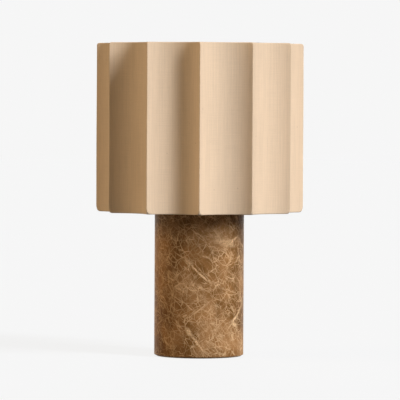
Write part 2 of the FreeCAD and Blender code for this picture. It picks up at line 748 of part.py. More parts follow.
def arm_path(sketch, start, end, rise):
    """Level run, bend down, straight slope, bend back and level run, all tangent."""
    bend, seat, foot = (value(f"Sizes.{key}") for key in ("arm_bend", "arm_seat_run", "arm_foot_run"))
    top, bottom = Vector(value(start), value(rise), 0), Vector(value(end), 0, 0)
    leave, arrive = top + Vector(seat, 0, 0), bottom - Vector(foot, 0, 0)
    upper, lower = leave - Vector(0, bend, 0), arrive + Vector(0, bend, 0)
    span = lower - upper
    slope = math.sqrt(span.Length ** 2 - 4 * bend ** 2)
    dip = math.atan2(2 * bend, slope) - math.atan2(span.y, span.x)

    def rim(centre, angle, side):
        return centre + Vector(math.sin(angle), math.cos(angle), 0) * (bend * side)

    sketch.addGeometry([
        Part.LineSegment(top, leave),
        Part.ArcOfCircle(leave, rim(upper, dip / 2, 1), rim(upper, dip, 1)),
        Part.LineSegment(rim(upper, dip, 1), rim(lower, dip, -1)),
        Part.ArcOfCircle(rim(lower, dip, -1), rim(lower, dip / 2, -1), arrive),
        Part.LineSegment(arrive, bottom),
    ], False)
    # an arc keeps its ends counterclockwise, so the upper one starts at its far end
    joints = ((0, 2, 1, 2), (1, 1, 2, 1), (2, 2, 3, 1), (3, 2, 4, 1))
    for joint in joints:
        sketch.addConstraint(Sketcher.Constraint("Tangent", *joint))
    sketch.addConstraint(Sketcher.Constraint("Horizontal", 0))
    sketch.addConstraint(Sketcher.Constraint("Horizontal", 4))
    for edge, key in ((0, "arm_seat_run"), (4, "arm_foot_run")):
        size = Sketcher.Constraint("Distance", edge, value(f"Sizes.{key}"))
        bind(sketch, size, key, f"Sizes.{key}")
    for edge in (1, 3):
        bind(sketch, Sketcher.Constraint("Radius", edge, bend), f"bend_{edge}", "Sizes.arm_bend")
    pin_point(sketch, 0, 1, "start", start, rise)
    pin_point(sketch, 4, 2, "end", end, "0")


def make_spider():
    """Fitter plate and the arms that carry it from the bottom ring's valleys."""
    disc("spider_ring", "Sizes.fitter_diameter", "Sizes.fitter_thick",
         "Levels.fitter_bottom", "Sizes.fitter_hole")
    start = "(Sizes.ring_diameter / 2 + Sizes.arm_start_gap)"
    end = "(Flutes.arc_axis - Flutes.wire_inner_arc)"
    foot = "(Levels.bottom_ring + Sizes.ring_wire / 2)"
    rise = f"(Levels.fitter_bottom - Sizes.arm_wire / 2 - {foot})"
    count = int(value("Sizes.arm_count"))
    for index in range(count):
        name = f"spider_arm_{index + 1}"
        body = new_body(name)
        path = new_sketch(body, "path")
        arm_path(path, start, end, rise)
        section = new_sketch(body, "section", "YZ_Plane", start)
        circle(section, "Sizes.arm_wire", "0", rise)
        pipe = body.newObject("PartDesign::AdditivePipe", f"{name}_pipe")
        pipe.Profile = section
        pipe.Spine = path
        valley = round((index + 0.5) * FLUTE_COUNT / count - 0.5) + 0.5
        angle = value("Flutes.front") + valley * 2 * value("Flutes.half_pitch")
        body.Placement = Placement(Vector(), Rotation(UP, angle))
        finish(body, name, foot)


# --- bulb -----------------------------------------------------------------------------------

def make_bulb_base():
    """Centre contact, insulator and screw cap."""
    tip, small = "Sizes.tip_diameter / 2", "Sizes.insulator_small_diameter / 2"
    large, cap = "Sizes.insulator_diameter / 2", "Sizes.bulb_cap_diameter / 2"
    wall, tall = "Sizes.bulb_cap_wall", "Sizes.bulb_cap_height"
    disc("bulb_tip", "Sizes.tip_diameter", "Sizes.tip_thick", "Levels.bulb_bottom")
    turned("bulb_insulator", "Levels.insulator_bottom", (
        ("0", "0"),
        (small, "0"),
        (large, "Sizes.insulator_height"),
        ("0", "Sizes.insulator_height"),
    ))
    turned("bulb_cap", "Levels.bulb_cap_bottom", (
        (f"{tip}", "0"),
        (large, "0"),
        (cap, f"{cap} - {large}"),
        (cap, tall),
        (f"{cap} - {wall}", tall),
        (f"{cap} - {wall}", f"{cap} - {large} + {wall}"),
        (f"{large} - {wall}", wall),
        (f"{tip}", wall),
    ))


def glass_side(wall, lower_steps, upper_steps):
    """Corners of the glass from its neck to its tip, a wall thickness inside the outside."""
    neck = f"(Sizes.bulb_cap_diameter / 2 - Sizes.bulb_cap_wall - Sizes.neck_gap - {wall})"
    belly = f"(Sizes.glass_diameter / 2 - {wall})"
    swell = "Sizes.glass_wide_height"
    taper = f"(Sizes.glass_height - {swell} - {wall})"
    corners = [(neck, "0")]
    for step in range(lower_steps):
        turn_by = f"(90 * {step} / {lower_steps})"
        corners.append((f"{neck} + ({belly} - {neck}) * sin({turn_by})",
                        f"Sizes.neck_depth + {swell} * {step} / {lower_steps}"))
    for step in range(upper_steps):
        turn_by = f"(90 * {step} / {upper_steps})"
        corners.append((f"{belly} * cos({turn_by})",
                        f"Sizes.neck_depth + {swell} + {taper} * sin({turn_by})"))
    corners.append(("0", f"Sizes.neck_depth + {swell} + {taper}"))
    return corners


def make_bulb_glass():
    """Candle-shaped glass: neck in the cap, belly and an elliptical taper to the tip."""
    outside = glass_side("0", lower_steps=2, upper_steps=5)
    inside = glass_side("Sizes.glass_wall", lower_steps=1, upper_steps=3)
    turned("bulb_glass", "Levels.neck_bottom", tuple(outside + inside[::-1]))


def make_bulb_inside():
    """Driver board, flared glass stem, and the filament sticks between two wire crosses."""
    board = primitive("Box", "driver_board", Length="Sizes.driver_width",
                      Width="Sizes.driver_thick", Height="Sizes.driver_height")
    board.setExpression("Placement.Base.x", "-Sizes.driver_width / 2")
    board.setExpression("Placement.Base.y", "-Sizes.driver_thick")
    can = primitive("Cylinder", "driver_capacitor", Radius="Sizes.capacitor_diameter / 2",
                    Height="Sizes.capacitor_length")
    can.setExpression("Placement.Base.y", "Sizes.capacitor_diameter / 2 - Sizes.driver_thick / 2")
    driver = DOC.addObject("Part::Fuse", "bulb_driver")
    driver.Base, driver.Tool = board, can
    finish(driver, "bulb_driver", "Levels.bulb_cap_bottom + Sizes.bulb_cap_wall")

    stem = "Sizes.stem_diameter / 2"
    neck = "(Sizes.bulb_cap_diameter / 2 - Sizes.bulb_cap_wall - Sizes.neck_gap)"
    foot = f"({neck} - Sizes.glass_wall - Sizes.neck_gap)"
    turned("bulb_stem", "Levels.neck_bottom", (
        ("0", "0"),
        (foot, "0"),
        (stem, "Sizes.stem_flare_height"),
        (stem, "Sizes.stem_height"),
        ("0", "Sizes.stem_height"),
    ))
    for place, level in (("lower", "Levels.filament_bottom - Sizes.star_wire"),
                         ("upper", "Levels.filament_bottom + Sizes.filament_length")):
        reach = "(Sizes.filament_circle + Sizes.filament_diameter)"
        bars = []
        for across, along in (("Length", "Width"), ("Width", "Length")):
            bar = primitive("Box", f"cross_{place}_{across}", Height="Sizes.star_wire",
                            **{across: reach, along: "Sizes.star_wire"})
            bar.setExpression("Placement.Base.x", "-Length / 2")
            bar.setExpression("Placement.Base.y", "-Width / 2")
            bars.append(bar)
        cross = DOC.addObject("Part::Fuse", f"filament_cross_{place}")
        cross.Base, cross.Tool = bars
        finish(cross, f"filament_cross_{place}", level)
    for index in range(int(value("Sizes.filament_count"))):
        name = f"filament_{index + 1}"
        stick = primitive("Cylinder", name, Radius="Sizes.filament_diameter / 2",
                          Height="Sizes.filament_length")
        angle = f"({index} * 360 / Sizes.filament_count)"
        stick.setExpression("Placement.Base.x", f"Sizes.filament_circle / 2 * cos({angle})")
        stick.setExpression("Placement.Base.y", f"Sizes.filament_circle / 2 * sin({angle})")
        finish(stick, name, "Levels.filament_bottom")


def write_parts():
    """Check every object of the document, then write each sub-part to its own file."""
    DOC.recompute()
    for item in DOC.Objects:
        faults = [word for word in item.State if word in ("Invalid", "Error")]
        if faults:
            raise ValueError(f"{item.Name}: {', '.join(faults)}")
    for part in PARTS:
        if part.Shape.isNull() or not part.Shape.isValid() or not part.Shape.Solids:
            raise ValueError(f"{part.Label}: not a valid solid")
    os.makedirs("parts", exist_ok=True)
    for part in PARTS:
        part.Shape.exportStep(f"parts/{part.Label}.step")
    print(f"{len(PARTS)} sub-parts written")


make_felt()
make_column()
make_bush()
make_clamp()
make_cap()
make_dome()
make_insert()
make_terminals()
make_shell()
make_contact()
make_skirt()
make_shade_ring("shade_ring_lower", "Levels.fitter_bottom", True)
make_shade_ring("shade_ring_upper", "Levels.fitter_top", False)
make_wall("shade_cover", "liner")
make_wall("shade_liner", "inside", "liner")
make_wire_ring("shade_bottom_ring", "Levels.bottom_ring")
make_wire_ring("shade_top_ring", "Levels.top_ring")
make_ribs()
make_spider()
make_bulb_base()
make_bulb_glass()
make_bulb_inside()
write_parts()
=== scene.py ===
"""Column table lamp: the looks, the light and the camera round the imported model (metres)."""

import json
from math import acos, atan2, cos, hypot, pi, radians, sin, sqrt, tan

import bmesh
import bpy
from mathutils import Matrix, Quaternion, Vector, noise

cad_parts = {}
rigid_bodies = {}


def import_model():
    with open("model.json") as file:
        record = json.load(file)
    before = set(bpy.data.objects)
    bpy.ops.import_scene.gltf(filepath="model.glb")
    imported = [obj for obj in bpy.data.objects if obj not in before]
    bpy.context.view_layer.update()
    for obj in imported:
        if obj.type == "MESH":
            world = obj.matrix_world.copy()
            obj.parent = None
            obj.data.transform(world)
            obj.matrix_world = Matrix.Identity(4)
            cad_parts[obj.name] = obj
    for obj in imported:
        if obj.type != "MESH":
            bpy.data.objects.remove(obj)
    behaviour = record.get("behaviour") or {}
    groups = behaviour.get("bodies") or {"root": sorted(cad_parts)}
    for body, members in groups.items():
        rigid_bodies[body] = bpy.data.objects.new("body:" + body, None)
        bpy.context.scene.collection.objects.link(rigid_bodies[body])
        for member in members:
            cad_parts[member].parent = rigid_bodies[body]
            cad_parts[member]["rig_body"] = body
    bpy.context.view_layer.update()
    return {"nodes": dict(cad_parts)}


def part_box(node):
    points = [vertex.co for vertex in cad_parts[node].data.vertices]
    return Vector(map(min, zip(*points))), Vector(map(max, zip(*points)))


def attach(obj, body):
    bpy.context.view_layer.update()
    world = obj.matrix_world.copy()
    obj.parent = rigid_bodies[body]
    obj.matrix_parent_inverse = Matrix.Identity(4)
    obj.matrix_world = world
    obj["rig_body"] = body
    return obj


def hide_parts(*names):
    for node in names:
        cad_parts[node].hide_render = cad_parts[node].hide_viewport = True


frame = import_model()

MM = 0.001
TURN = 2 * pi
NODES = frame["nodes"]

# --- sizes ---

# the shade's outline, as in the model: arcs that meet in narrow rounded ridges
SHADE_LOW, SHADE_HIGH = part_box("shade_cover")
FLUTES = 12
NOSE = 1.0 * MM                      # outside radius of a ridge
FLUTE_DEPTH = 15.8 * MM              # from the line between two noses' centres to the valley
COVER = 1.0 * MM                     # fabric on card
LINER = 0.5 * MM
HALF = pi / FLUTES                   # half the angle of a flute
NOSE_CIRCLE = SHADE_HIGH.y - NOSE
HALF_CHORD = NOSE_CIRCLE * sin(HALF)
NOSE_ARC = (HALF_CHORD ** 2 + FLUTE_DEPTH ** 2) / (2 * FLUTE_DEPTH)
FLUTE_ARC = NOSE_ARC - NOSE
FLUTE_AXIS = NOSE_CIRCLE * cos(HALF) - FLUTE_DEPTH + NOSE_ARC
BACK = pi / 2                        # direction of the ridge where the fabric is joined

FLUTE_STEPS = 22                     # faces across one flute
NOSE_STEPS = 8                       # faces round one ridge

HEM_TURN = 12 * MM                   # fabric turned to the inside
HEM_CLOTH = 0.6 * MM                 # thickness of the turned-in fabric
CORNER = 3.4 * MM                    # rounding of a ridge's end, seen from the side
SOFT_NOSE = 2.2 * MM                 # more radius at a ridge's foot, where the fabric is folded
SOFT_REACH = 9 * MM                  # under, and how far up it goes
NOSE_SHARE = 0.88                    # growth of a ridge's radius for each step its tip goes in
RING_WIRE = 3 * MM                   # thickness of a hoop
RING_GAP = 0.05 * MM                 # between a hoop or hem and the lining
WALL_IN = COVER + LINER + RING_GAP   # inset of a hoop or hem
RIB_BRIDGE = 4 * MM                  # radius of the turned-in fabric across a rib
WAVER = 0.35 * MM                    # unevenness of the stretched fabric,
WAVER_ROUND, WAVER_UP = 26, 9        # and how often it changes in a metre

TUBE_THREAD = 5.05 * MM              # radius inside what is screwed on the threaded tube
BUSH_FLANGE = 2 * MM                 # thickness of the cable bush's flange
SHEET = 0.4 * MM                     # metal of the screw shell and of the bulb's cap
GRIPS = 12                           # finger grips round a shade ring

BULB_PITCH = 3.63 * MM               # screw cap's rolled thread
SKIRT_PITCH = 2.5 * MM               # thread for the shade rings

ROUND = 96                           # faces round a turned piece


# --- meshes ---

def new_object(name, data):
    """Add an object to the scene."""
    item = bpy.data.objects.new(name, data)
    bpy.context.scene.collection.objects.link(item)
    return item


def new_piece(name, points, faces, sharp=35):
    """A mesh object with smooth shading, broken where faces meet at more than sharp degrees."""
    mesh = bpy.data.meshes.new(name)
    mesh.from_pydata([tuple(p) for p in points], [], faces)
    work = bmesh.new()
    work.from_mesh(mesh)
    bmesh.ops.remove_doubles(work, verts=work.verts, dist=1e-7)
    bmesh.ops.recalc_face_normals(work, faces=work.faces)
    work.to_mesh(mesh)
    work.free()
    mesh.shade_smooth()
    mesh.set_sharp_from_angle(angle=radians(sharp))
    return new_object(name, mesh)


def turned(x, y, angle):
    """A point turned about the origin."""
    c, s = cos(angle), sin(angle)
    return x * c - y * s, x * s + y * c


def eased(corners, steps=4):
    """The outline with each corner (across, up, radius) rounded to its radius."""
    points = []
    for index, corner in enumerate(corners):
        here = Vector(corner[:2])
        radius = corner[2] if len(corner) > 2 else 0
        before = Vector(corners[index - 1][:2]) - here
        after = Vector(corners[(index + 1) % len(corners)][:2]) - here
        if radius == 0 or min(before.length, after.length) == 0:
            points.append(here)
            continue
        before.normalize()
        after.normalize()
        opening = acos(max(-1, min(1, before.dot(after))))
        reach = radius / tan(opening / 2)
        centre = here + (before + after).normalized() * (radius / sin(opening / 2))
        start, end = here + before * reach - centre, here + after * reach - centre
        swing = start.angle_signed(end)
        for step in range(steps + 1):
            points.append(centre + Vector(turned(*start, -swing * step / steps)))
    return points


def loops(columns, rows, closed=True):
    """Faces between columns of points, each a loop; closed joins the last to the first."""
    faces = []
    for column in range(columns if closed else columns - 1):
        this, following = column * rows, (column + 1) % columns * rows
        for row in range(rows):
            after = (row + 1) % rows
            faces.append((this + row, following + row, following + after, this + after))
    return faces


def lathe(name, profile, around=ROUND, sharp=35, shape=None):
    """Turn a closed profile of rows (radius, height) about the axis.

    shape(row, turn) gives the radius at a share of the turn, where it varies.
    """
    points = []
    for column in range(around):
        angle = TURN * column / around
        for row in profile:
            radius = shape(row, column / around) if shape else row[0]
            points.append((radius * cos(angle), radius * sin(angle), row[1]))
    return new_piece(name, points, loops(around, len(profile)), sharp)


def wave(turns):
    """A wave that is 1 at whole turns and 0 between them."""
    return 0.5 + 0.5 * cos(TURN * turns)


def helix(pitch, low, high, run_out=1.0):
    """A shape for lathe: a thread in the rows that have its depth as their third value."""
    def radius_at(row, turn):
        if len(row) < 3:
            return row[0]
        phase = (row[1] - low) / pitch
        fade = max(0, min(1, phase * run_out, (high - row[1]) / pitch * run_out))
        return row[0] - row[2] * fade * wave(phase - turn)
    return radius_at


def wall_rows(radius, low, high, step, depth):
    """Rows up a straight wall for a thread of this depth; it is negative inside a bore."""
    count = max(1, round((high - low) / step))
    return [(radius, low + (high - low) * index / count, depth) for index in range(count + 1)]


def tube(name, path, radius, sides, closed=False):
    """A round wire along a path."""
    points = []
    count = len(path)
    side = None
    for index, here in enumerate(path):
        before = path[index - 1] if closed or index else here
        after = path[(index + 1) % count] if closed or index < count - 1 else here
        along = (after - before).normalized()
        if side is None:
            side = along.cross(Vector((0, 0, 1) if abs(along.z) < 0.9 else (1, 0, 0))).normalized()
        side = (side - along * side.dot(along)).normalized()
        lift = side.cross(along)
        for step in range(sides):
            angle = TURN * step / sides
            out, up = radius * cos(angle), radius * sin(angle)
            points.append(here + side * out + lift * up)
    faces = loops(count, sides, closed)
    if not closed:
        faces += [tuple(range(sides)), tuple(range((count - 1) * sides, count * sides))]
    return new_piece(name, points, faces, 50)


def cut_away(piece, tools, sharp=35):
    """Cut tool shapes out of a piece, remove the tools and mark its sharp edges again."""
    for tool in tools:
        cut = piece.modifiers.new("cut", "BOOLEAN")
        cut.operation, cut.object, cut.solver = "DIFFERENCE", tool, "EXACT"
    graph = bpy.context.evaluated_depsgraph_get()
    mesh = bpy.data.meshes.new_from_object(piece.evaluated_get(graph))
    piece.modifiers.clear()
    piece.data = mesh
    mesh.set_sharp_from_angle(angle=radians(sharp))
    for tool in tools:
        bpy.data.objects.remove(tool)


def move(piece, offset, turn=Matrix()):
    """Turn and move the piece's mesh, and leave its origin on the axis."""
    piece.data.transform(Matrix.Translation(offset) @ turn)
    return piece


def lay_back(piece, start, height):
    """Lay an upright piece along +Y, from start on, at a height."""
    return move(piece, (0, start, height), Matrix.Rotation(-pi / 2, 4, "X"))


def drill(radius, length, start, height, sides=64):
    """A rod along +Y that cuts a hole."""
    rod = lathe("tool", [(0, 0), (radius, 0), (radius, length), (0, length)], sides)
    return lay_back(rod, start, height)


# --- materials ---

def add_node(tree, kind, inputs=(), output=0, **settings):
    """Add a shader node with these inputs, linked or set, and return one of its outputs."""
    made = tree.nodes.new(f"ShaderNode{kind}")
    for key, value in settings.items():
        setattr(made, key, value)
    for key, value in dict(inputs).items():
        if isinstance(value, bpy.types.NodeSocket):
            tree.links.new(value, made.inputs[key])
        else:
            made.inputs[key].default_value = value
    return made.outputs[output]


class Finish:
    """A node material: its shader, and short calls for the nodes in front of it."""

    def __init__(self, name, colour, rough, **sockets):
        self.material = bpy.data.materials.new(name)
        self.material.use_nodes = True
        self.tree = self.material.node_tree
        self.shader = self.tree.nodes["Principled BSDF"]
        sockets.update({"Base Color": (*colour, 1), "Roughness": rough})
        for key, value in sockets.items():
            self.shader.inputs[key.replace("_", " ")].default_value = value
        self.material.diffuse_color = (*colour, 1)

    def node(self, kind, inputs=(), output=0, **settings):
        return add_node(self.tree, kind, inputs, output, **settings)

    def place(self, scale=(1, 1, 1), attribute=None):
        """Object coordinates, or those of an attribute, stretched."""
        if attribute is None:
            start = self.node("TexCoord", output="Object")
        else:
            start = self.node("Attribute", attribute_name=attribute, output="Vector")
        return self.node("Mapping", {"Vector": start, "Scale": scale})

    def noise(self, at, scale, detail=3, rough=0.5, distort=0, output=0):
        return self.node("TexNoise", {"Vector": at, "Scale": scale, "Detail": detail,
                                      "Roughness": rough, "Distortion": distort}, output)

    def cells(self, at, scale, feature="F1", output=0):
        return self.node("TexVoronoi", {"Vector": at, "Scale": scale}, output, feature=feature)

    def waves(self, at, pitch, direction, profile, **inputs):
        """Stripes of a pitch across a direction."""
        inputs = {"Vector": at, "Scale": 1 / (pitch * TURN) * 0.5, **inputs}
        return self.node("TexWave", inputs, 1, bands_direction=direction, wave_profile=profile)

    def apart(self, vector):
        """The x, y and z of a vector."""
        return self.node("SeparateXYZ", {0: vector}).node.outputs

    def math(self, operation, first, second=0.0):
        return self.node("Math", {0: first, 1: second}, operation=operation)

    def plus(self, first, second):
        return self.math("ADD", first, second)

    def times(self, first, second):
        return self.math("MULTIPLY", first, second)

    def spread(self, value, low, high, to_low=0.0, to_high=1.0):
        """The value's range low to high, smoothly, to another range."""
        return self.node("MapRange", {"Value": value, "From Min": low, "From Max": high,
                                      "To Min": to_low, "To Max": to_high},
                         interpolation_type="SMOOTHSTEP")

    def mix(self, share, first, second, kind="MIX"):
        """Two colours, each a tuple or a node's, blended by a share."""
        first, second = ((*end, 1) if isinstance(end, tuple) else end for end in (first, second))
        inputs = {0: share, 6: first, 7: second}
        return self.node("Mix", inputs, 2, data_type="RGBA", blend_type=kind)

    def set(self, key, value):
        """Lead a node's value to the shader."""
        self.tree.links.new(value, self.shader.inputs[key])

    def bump(self, height, distance, strength):
        """A bump of a height field from 0 to 1, distance deep."""
        made = self.node("Bump", {"Height": height, "Distance": distance, "Strength": strength})
        self.set("Normal", made)


def make_linen():
    """Plain-weave linen: thread columns and rows with slubs, specks and slight streaks."""
    finish = Finish("linen", (0.80, 0.60, 0.42), 0.86, Sheen_Weight=0.07, Sheen_Roughness=0.5,
                    Specular_IOR_Level=0.04)
    spread, plus, times = finish.spread, finish.plus, finish.times

    def cloth(along=1, up=1):
        """Coordinates on the cloth, stretched."""
        return finish.place((along, up, 1), "cloth")

    thread = 0.55 * MM
    uneven = {"Distortion": 1.2, "Detail": 1.5, "Detail Scale": 0.6}
    warp, weft = (finish.waves(cloth(), thread, axis, "SIN", **uneven) for axis in "XY")
    across = finish.noise(cloth(1500, 40), 1, 3, 0.6)
    along = finish.noise(cloth(36, 1400), 1, 3, 0.6)
    streaks = finish.noise(cloth(520, 9), 1, 2)
    clouds = finish.noise(cloth(18, 14), 1, 2)
    spots = cloth(62, 50)
    specks = finish.cells(spots, 1)
    chosen = finish.apart(finish.cells(spots, 1, output=1))[0]
    weave = times(warp, weft)
    slubs = plus(spread(across, 0.25, 0.75), spread(along, 0.25, 0.75))
    tone = finish.node("Math", {0: slubs, 1: 0.060, 2: 0.918}, operation="MULTIPLY_ADD")
    tone = plus(tone, spread(streaks, 0.3, 0.7, -0.030, 0.030))
    tone = plus(tone, spread(clouds, 0.3, 0.7, -0.012, 0.012))
    tone = plus(tone, times(weave, 0.010))
    shaded = finish.mix(1.0, (0.815, 0.635, 0.465), tone, "MULTIPLY")
    fleck = times(spread(specks, 0.05, 0.02, 0.0, 0.5), spread(chosen, 0.55, 0.6))
    finish.set("Base Color", finish.mix(fleck, shaded, (0.30, 0.18, 0.10)))
    height = plus(times(weave, 0.3), times(slubs, 0.4))
    finish.bump(height, 0.16 * MM, 0.6)
    return finish


DRUM_RADIUS = 60.5                   # of the marble, in mm

# bold veins of the marble's front, in mm: (degrees right of the front, height) at both ends,
# half width, strength
VEINS = (
    ((-18, 133), (17, 97), 1.5, 0.85), ((-11, 126), (19, 97), 1.1, 0.7),
    ((-5, 127), (14, 104), 0.9, 0.5), ((-19, 136), (-8, 123), 4.5, 0.6),
    ((-17, 41), (12, 3), 2.1, 1.0), ((-19, 42), (-7, 29), 4.8, 0.9),
    ((33, 149), (61, 165), 2.6, 1.0), ((18, 159), (44, 154), 6.0, 0.6),
    ((34, 160), (52, 149), 5.5, 0.7), ((38, 36), (72, 72), 2.4, 0.9),
    ((44, 50), (61, 39), 4.5, 0.8), ((63, 99), (74, 62), 2.2, 0.8),
    ((24, 95), (68, 84), 1.1, 0.55), ((-48, 80), (-5, 119), 1.0, 0.55),
    ((-74, 40), (-48, 53), 1.5, 0.5), ((-26, 82), (-1, 58), 1.2, 0.6),
    ((-38, 146), (-11, 129), 1.1, 0.5), ((-50, 119), (-28, 104), 1.0, 0.45),
    ((2, 139), (16, 133), 2.2, 0.5), ((6, 26), (30, 12), 1.2, 0.4),
    ((26, 74), (45, 96), 1.0, 0.45),
)


def make_marble():
    """Brown marble: a web of thin pale veins in several sizes over a clouded ground, honed."""
    finish = Finish("marble", (0.40, 0.21, 0.10), 0.42, Specular_IOR_Level=0.05)
    here, times, spread = finish.place(), finish.times, finish.spread

    def bend(at, scale, reach, detail=2):
        """The coordinates pushed about by a noise, by up to half of reach."""
        push = finish.noise(at, scale, detail, output=1)
        push = finish.node("VectorMath", {0: push, 1: (0.5, 0.5, 0.5)}, operation="SUBTRACT")
        push = finish.node("VectorMath", {0: push, "Scale": reach}, operation="SCALE")
        return finish.node("VectorMath", {0: at, 1: push}, operation="ADD")

    def slant(at, turn, lengths):
        """Coordinates in a turned frame in which the pattern is drawn out by these lengths."""
        return finish.node("Mapping", {"Vector": at, "Rotation": turn, "Scale": lengths},
                           vector_type="TEXTURE")

    def line(value, width, strength):
        return spread(value, width, width * 0.1, 0.0, strength)

    def crack(at, scale, width, strength):
        """Thin lines where a noise passes its middle value."""
        field = finish.noise(at, scale, 2)
        return line(finish.math("ABSOLUTE", finish.math("SUBTRACT", field, 0.5)), width, strength)

    def edges(at, scale, width, strength):
        """Thin lines between the cells of a pattern."""
        return line(finish.cells(at, scale, "DISTANCE_TO_EDGE"), width, strength)

    def most(first, second):
        return finish.math("MAXIMUM", first, second)

    soft = bend(here, 30, 0.010)
    rough = bend(soft, 150, 0.0009, 3)
    straight = bend(here, 16, 0.006)
    down_right = slant(rough, (0.3, 0.87, 0.2), (2.4, 1.0, 1.0))
    down_left = slant(rough, (-0.2, -0.75, 0.4), (2.2, 1.0, 1.0))
    streak = slant(straight, (0.25, 0.85, 0.15), (12.0, 2.4, 1.0))
    cross = slant(soft, (-0.15, -0.65, 0.3), (8.0, 1.6, 1.0))
    ground = finish.noise(here, 26, 4, 0.6, 0.4)
    patches = finish.noise(here, 21, 3, 0.6, 0.3)
    broad = finish.noise(here, 34, 2)
    fade = finish.noise(here, 70, 3, 0.6)
    fade_fine = finish.noise(here, 190, 2, 0.6)
    dense = spread(patches, 0.46, 0.68)
    lit = spread(fade, 0.36, 0.62)
    lit_fine = spread(fade_fine, 0.38, 0.62)
    lit_broad = spread(broad, 0.42, 0.60)

    grain = finish.noise(down_right, 240, 3, 0.65)
    lit_patches = times(lit_fine, spread(patches, 0.38, 0.55, 0.4, 1.0))
    web = times(edges(rough, 60, 0.024, 0.7), spread(fade, 0.34, 0.62, 0.15, 1.0))
    for veins, where in (
            (edges(down_right, 125, 0.038, 0.65), spread(fade, 0.34, 0.60, 0.1, 1.0)),
            (edges(down_left, 200, 0.050, 0.45), lit_patches),
            (crack(down_right, 42, 0.008, 0.6), lit),
            (crack(streak, 105, 0.030, 0.5), times(lit_broad, lit)),
            (crack(cross, 52, 0.008, 0.5), spread(broad, 0.58, 0.40)),
            (edges(rough, 430, 0.12, 0.4), times(dense, lit_fine)),
            (times(dense, dense), spread(grain, 0.54, 0.74, 0.0, 0.7))):
        web = most(web, times(veins, where))

    # the boldest veins of the front, on the drum's skin unrolled to (length round, height)
    x, y, z = finish.apart(bend(bend(here, 60, 0.005), 230, 0.0030, 3))
    round_front = times(finish.math("ARCTAN2", x, times(y, -1.0)), DRUM_RADIUS * MM)
    skin = finish.node("CombineXYZ", {0: round_front, 1: z, 2: 0.0})
    broken = spread(finish.noise(rough, 420, 4, 0.7), 0.38, 0.60, 0.3, 1.0)
    for (turn_from, low), (turn_to, high), width, strength in VEINS:
        start = Vector((radians(turn_from) * DRUM_RADIUS, low)) * MM
        end = Vector((radians(turn_to) * DRUM_RADIUS, high)) * MM
        span, centre = end - start, (start + end) / 2
        local = finish.node("Mapping", {
            "Vector": skin, "Location": (centre.x, centre.y, 0),
            "Rotation": (0, 0, atan2(span.y, span.x)),
            "Scale": (span.length * 0.6, width * MM, 1)}, vector_type="TEXTURE")
        near = finish.node("TexGradient", {"Vector": local}, 1, gradient_type="SPHERICAL")
        web = most(web, times(spread(near, 0.0, 0.7, 0.0, strength), broken))
    base = finish.mix(spread(ground, 0.3, 0.7), (0.160, 0.072, 0.019), (0.365, 0.180, 0.068))
    base = finish.mix(times(dense, 0.3), base, (0.50, 0.275, 0.13))
    finish.set("Base Color", finish.mix(web, base, (0.91, 0.62, 0.36)))
    finish.set("Roughness", spread(ground, 0.3, 0.7, 0.34, 0.46))
    finish.bump(finish.plus(web, finish.noise(here, 900, 2)), 0.02 * MM, 0.3)
    return finish


def make_plain(name, colour, rough, grain, depth, vary):
    """A moulded or painted surface with a fine grain and slight changes of tone."""
    finish = Finish(name, colour, rough)
    here = finish.place()
    fine = finish.noise(here, grain, 3, 0.6)
    broad = finish.noise(here, grain / 12, 2)
    dark = tuple(channel * (1 - vary) for channel in colour)
    light = tuple(min(1, channel * (1 + vary)) for channel in colour)
    finish.set("Base Color", finish.mix(finish.spread(broad, 0.3, 0.7), dark, light))
    finish.set("Roughness", finish.spread(fine, 0.25, 0.75, rough * 0.85, min(1, rough * 1.15)))
    finish.bump(fine, depth, 0.5)
    return finish


def make_cork():
    """Pressed cork: grains of several tones with dark gaps."""
    finish = Finish("cork", (0.42, 0.26, 0.14), 0.85)
    here = finish.place()
    grains = finish.cells(here, 900, output=1)
    edges = finish.cells(here, 900, "DISTANCE_TO_EDGE")
    tone = finish.mix(0.75, grains, (0.5, 0.5, 0.5))
    colour = finish.mix(1.0, (0.80, 0.48, 0.25), tone, "MULTIPLY")
    gaps = finish.spread(edges, 0.08, 0.0, 0.0, 0.7)
    finish.set("Base Color", finish.mix(gaps, colour, (0.12, 0.06, 0.03)))
    finish.bump(edges, 0.1 * MM, 0.6)
    return finish


def make_felt():
    """Matted wool felt: fine fibres in lighter and darker clumps."""
    finish = Finish("felt", (0.48, 0.33, 0.21), 0.95, Sheen_Weight=0.4, Sheen_Roughness=0.6)
    here = finish.place()
    fibres = finish.noise(here, 1300, 4, 0.7, 2.5)
    clumps = finish.spread(finish.noise(here, 120, 3, 0.6), 0.3, 0.7, 0.0, 0.35)
    colour = finish.mix(finish.spread(fibres, 0.3, 0.7), (0.34, 0.22, 0.13), (0.64, 0.45, 0.30))
    finish.set("Base Color", finish.mix(clumps, colour, (0.38, 0.25, 0.15)))
    finish.bump(fibres, 0.25 * MM, 0.8)
    return finish


def make_brushed(name, colour, rough, grain=900):
    """Turned and brushed metal: fine rings round the axis."""
    finish = Finish(name, colour, rough, Metallic=1.0)
    start = finish.node("TexCoord", output="Object")
    x, y, z = finish.apart(start)
    reach = finish.math("SQRT", finish.plus(finish.times(x, x), finish.times(y, y)))
    rings = finish.node("CombineXYZ", {0: reach, 1: z, 2: 0.0})
    lines = finish.noise(rings, grain, 2, 0.7)
    haze = finish.noise(start, 70, 3, 0.6)
    dark = tuple(channel * 0.86 for channel in colour)
    finish.set("Base Color", finish.mix(finish.spread(haze, 0.35, 0.65), colour, dark))
    finish.set("Roughness", finish.spread(lines, 0.3, 0.7, rough * 0.7, rough * 1.3))
    finish.bump(lines, 0.02 * MM, 0.4)
    return finish


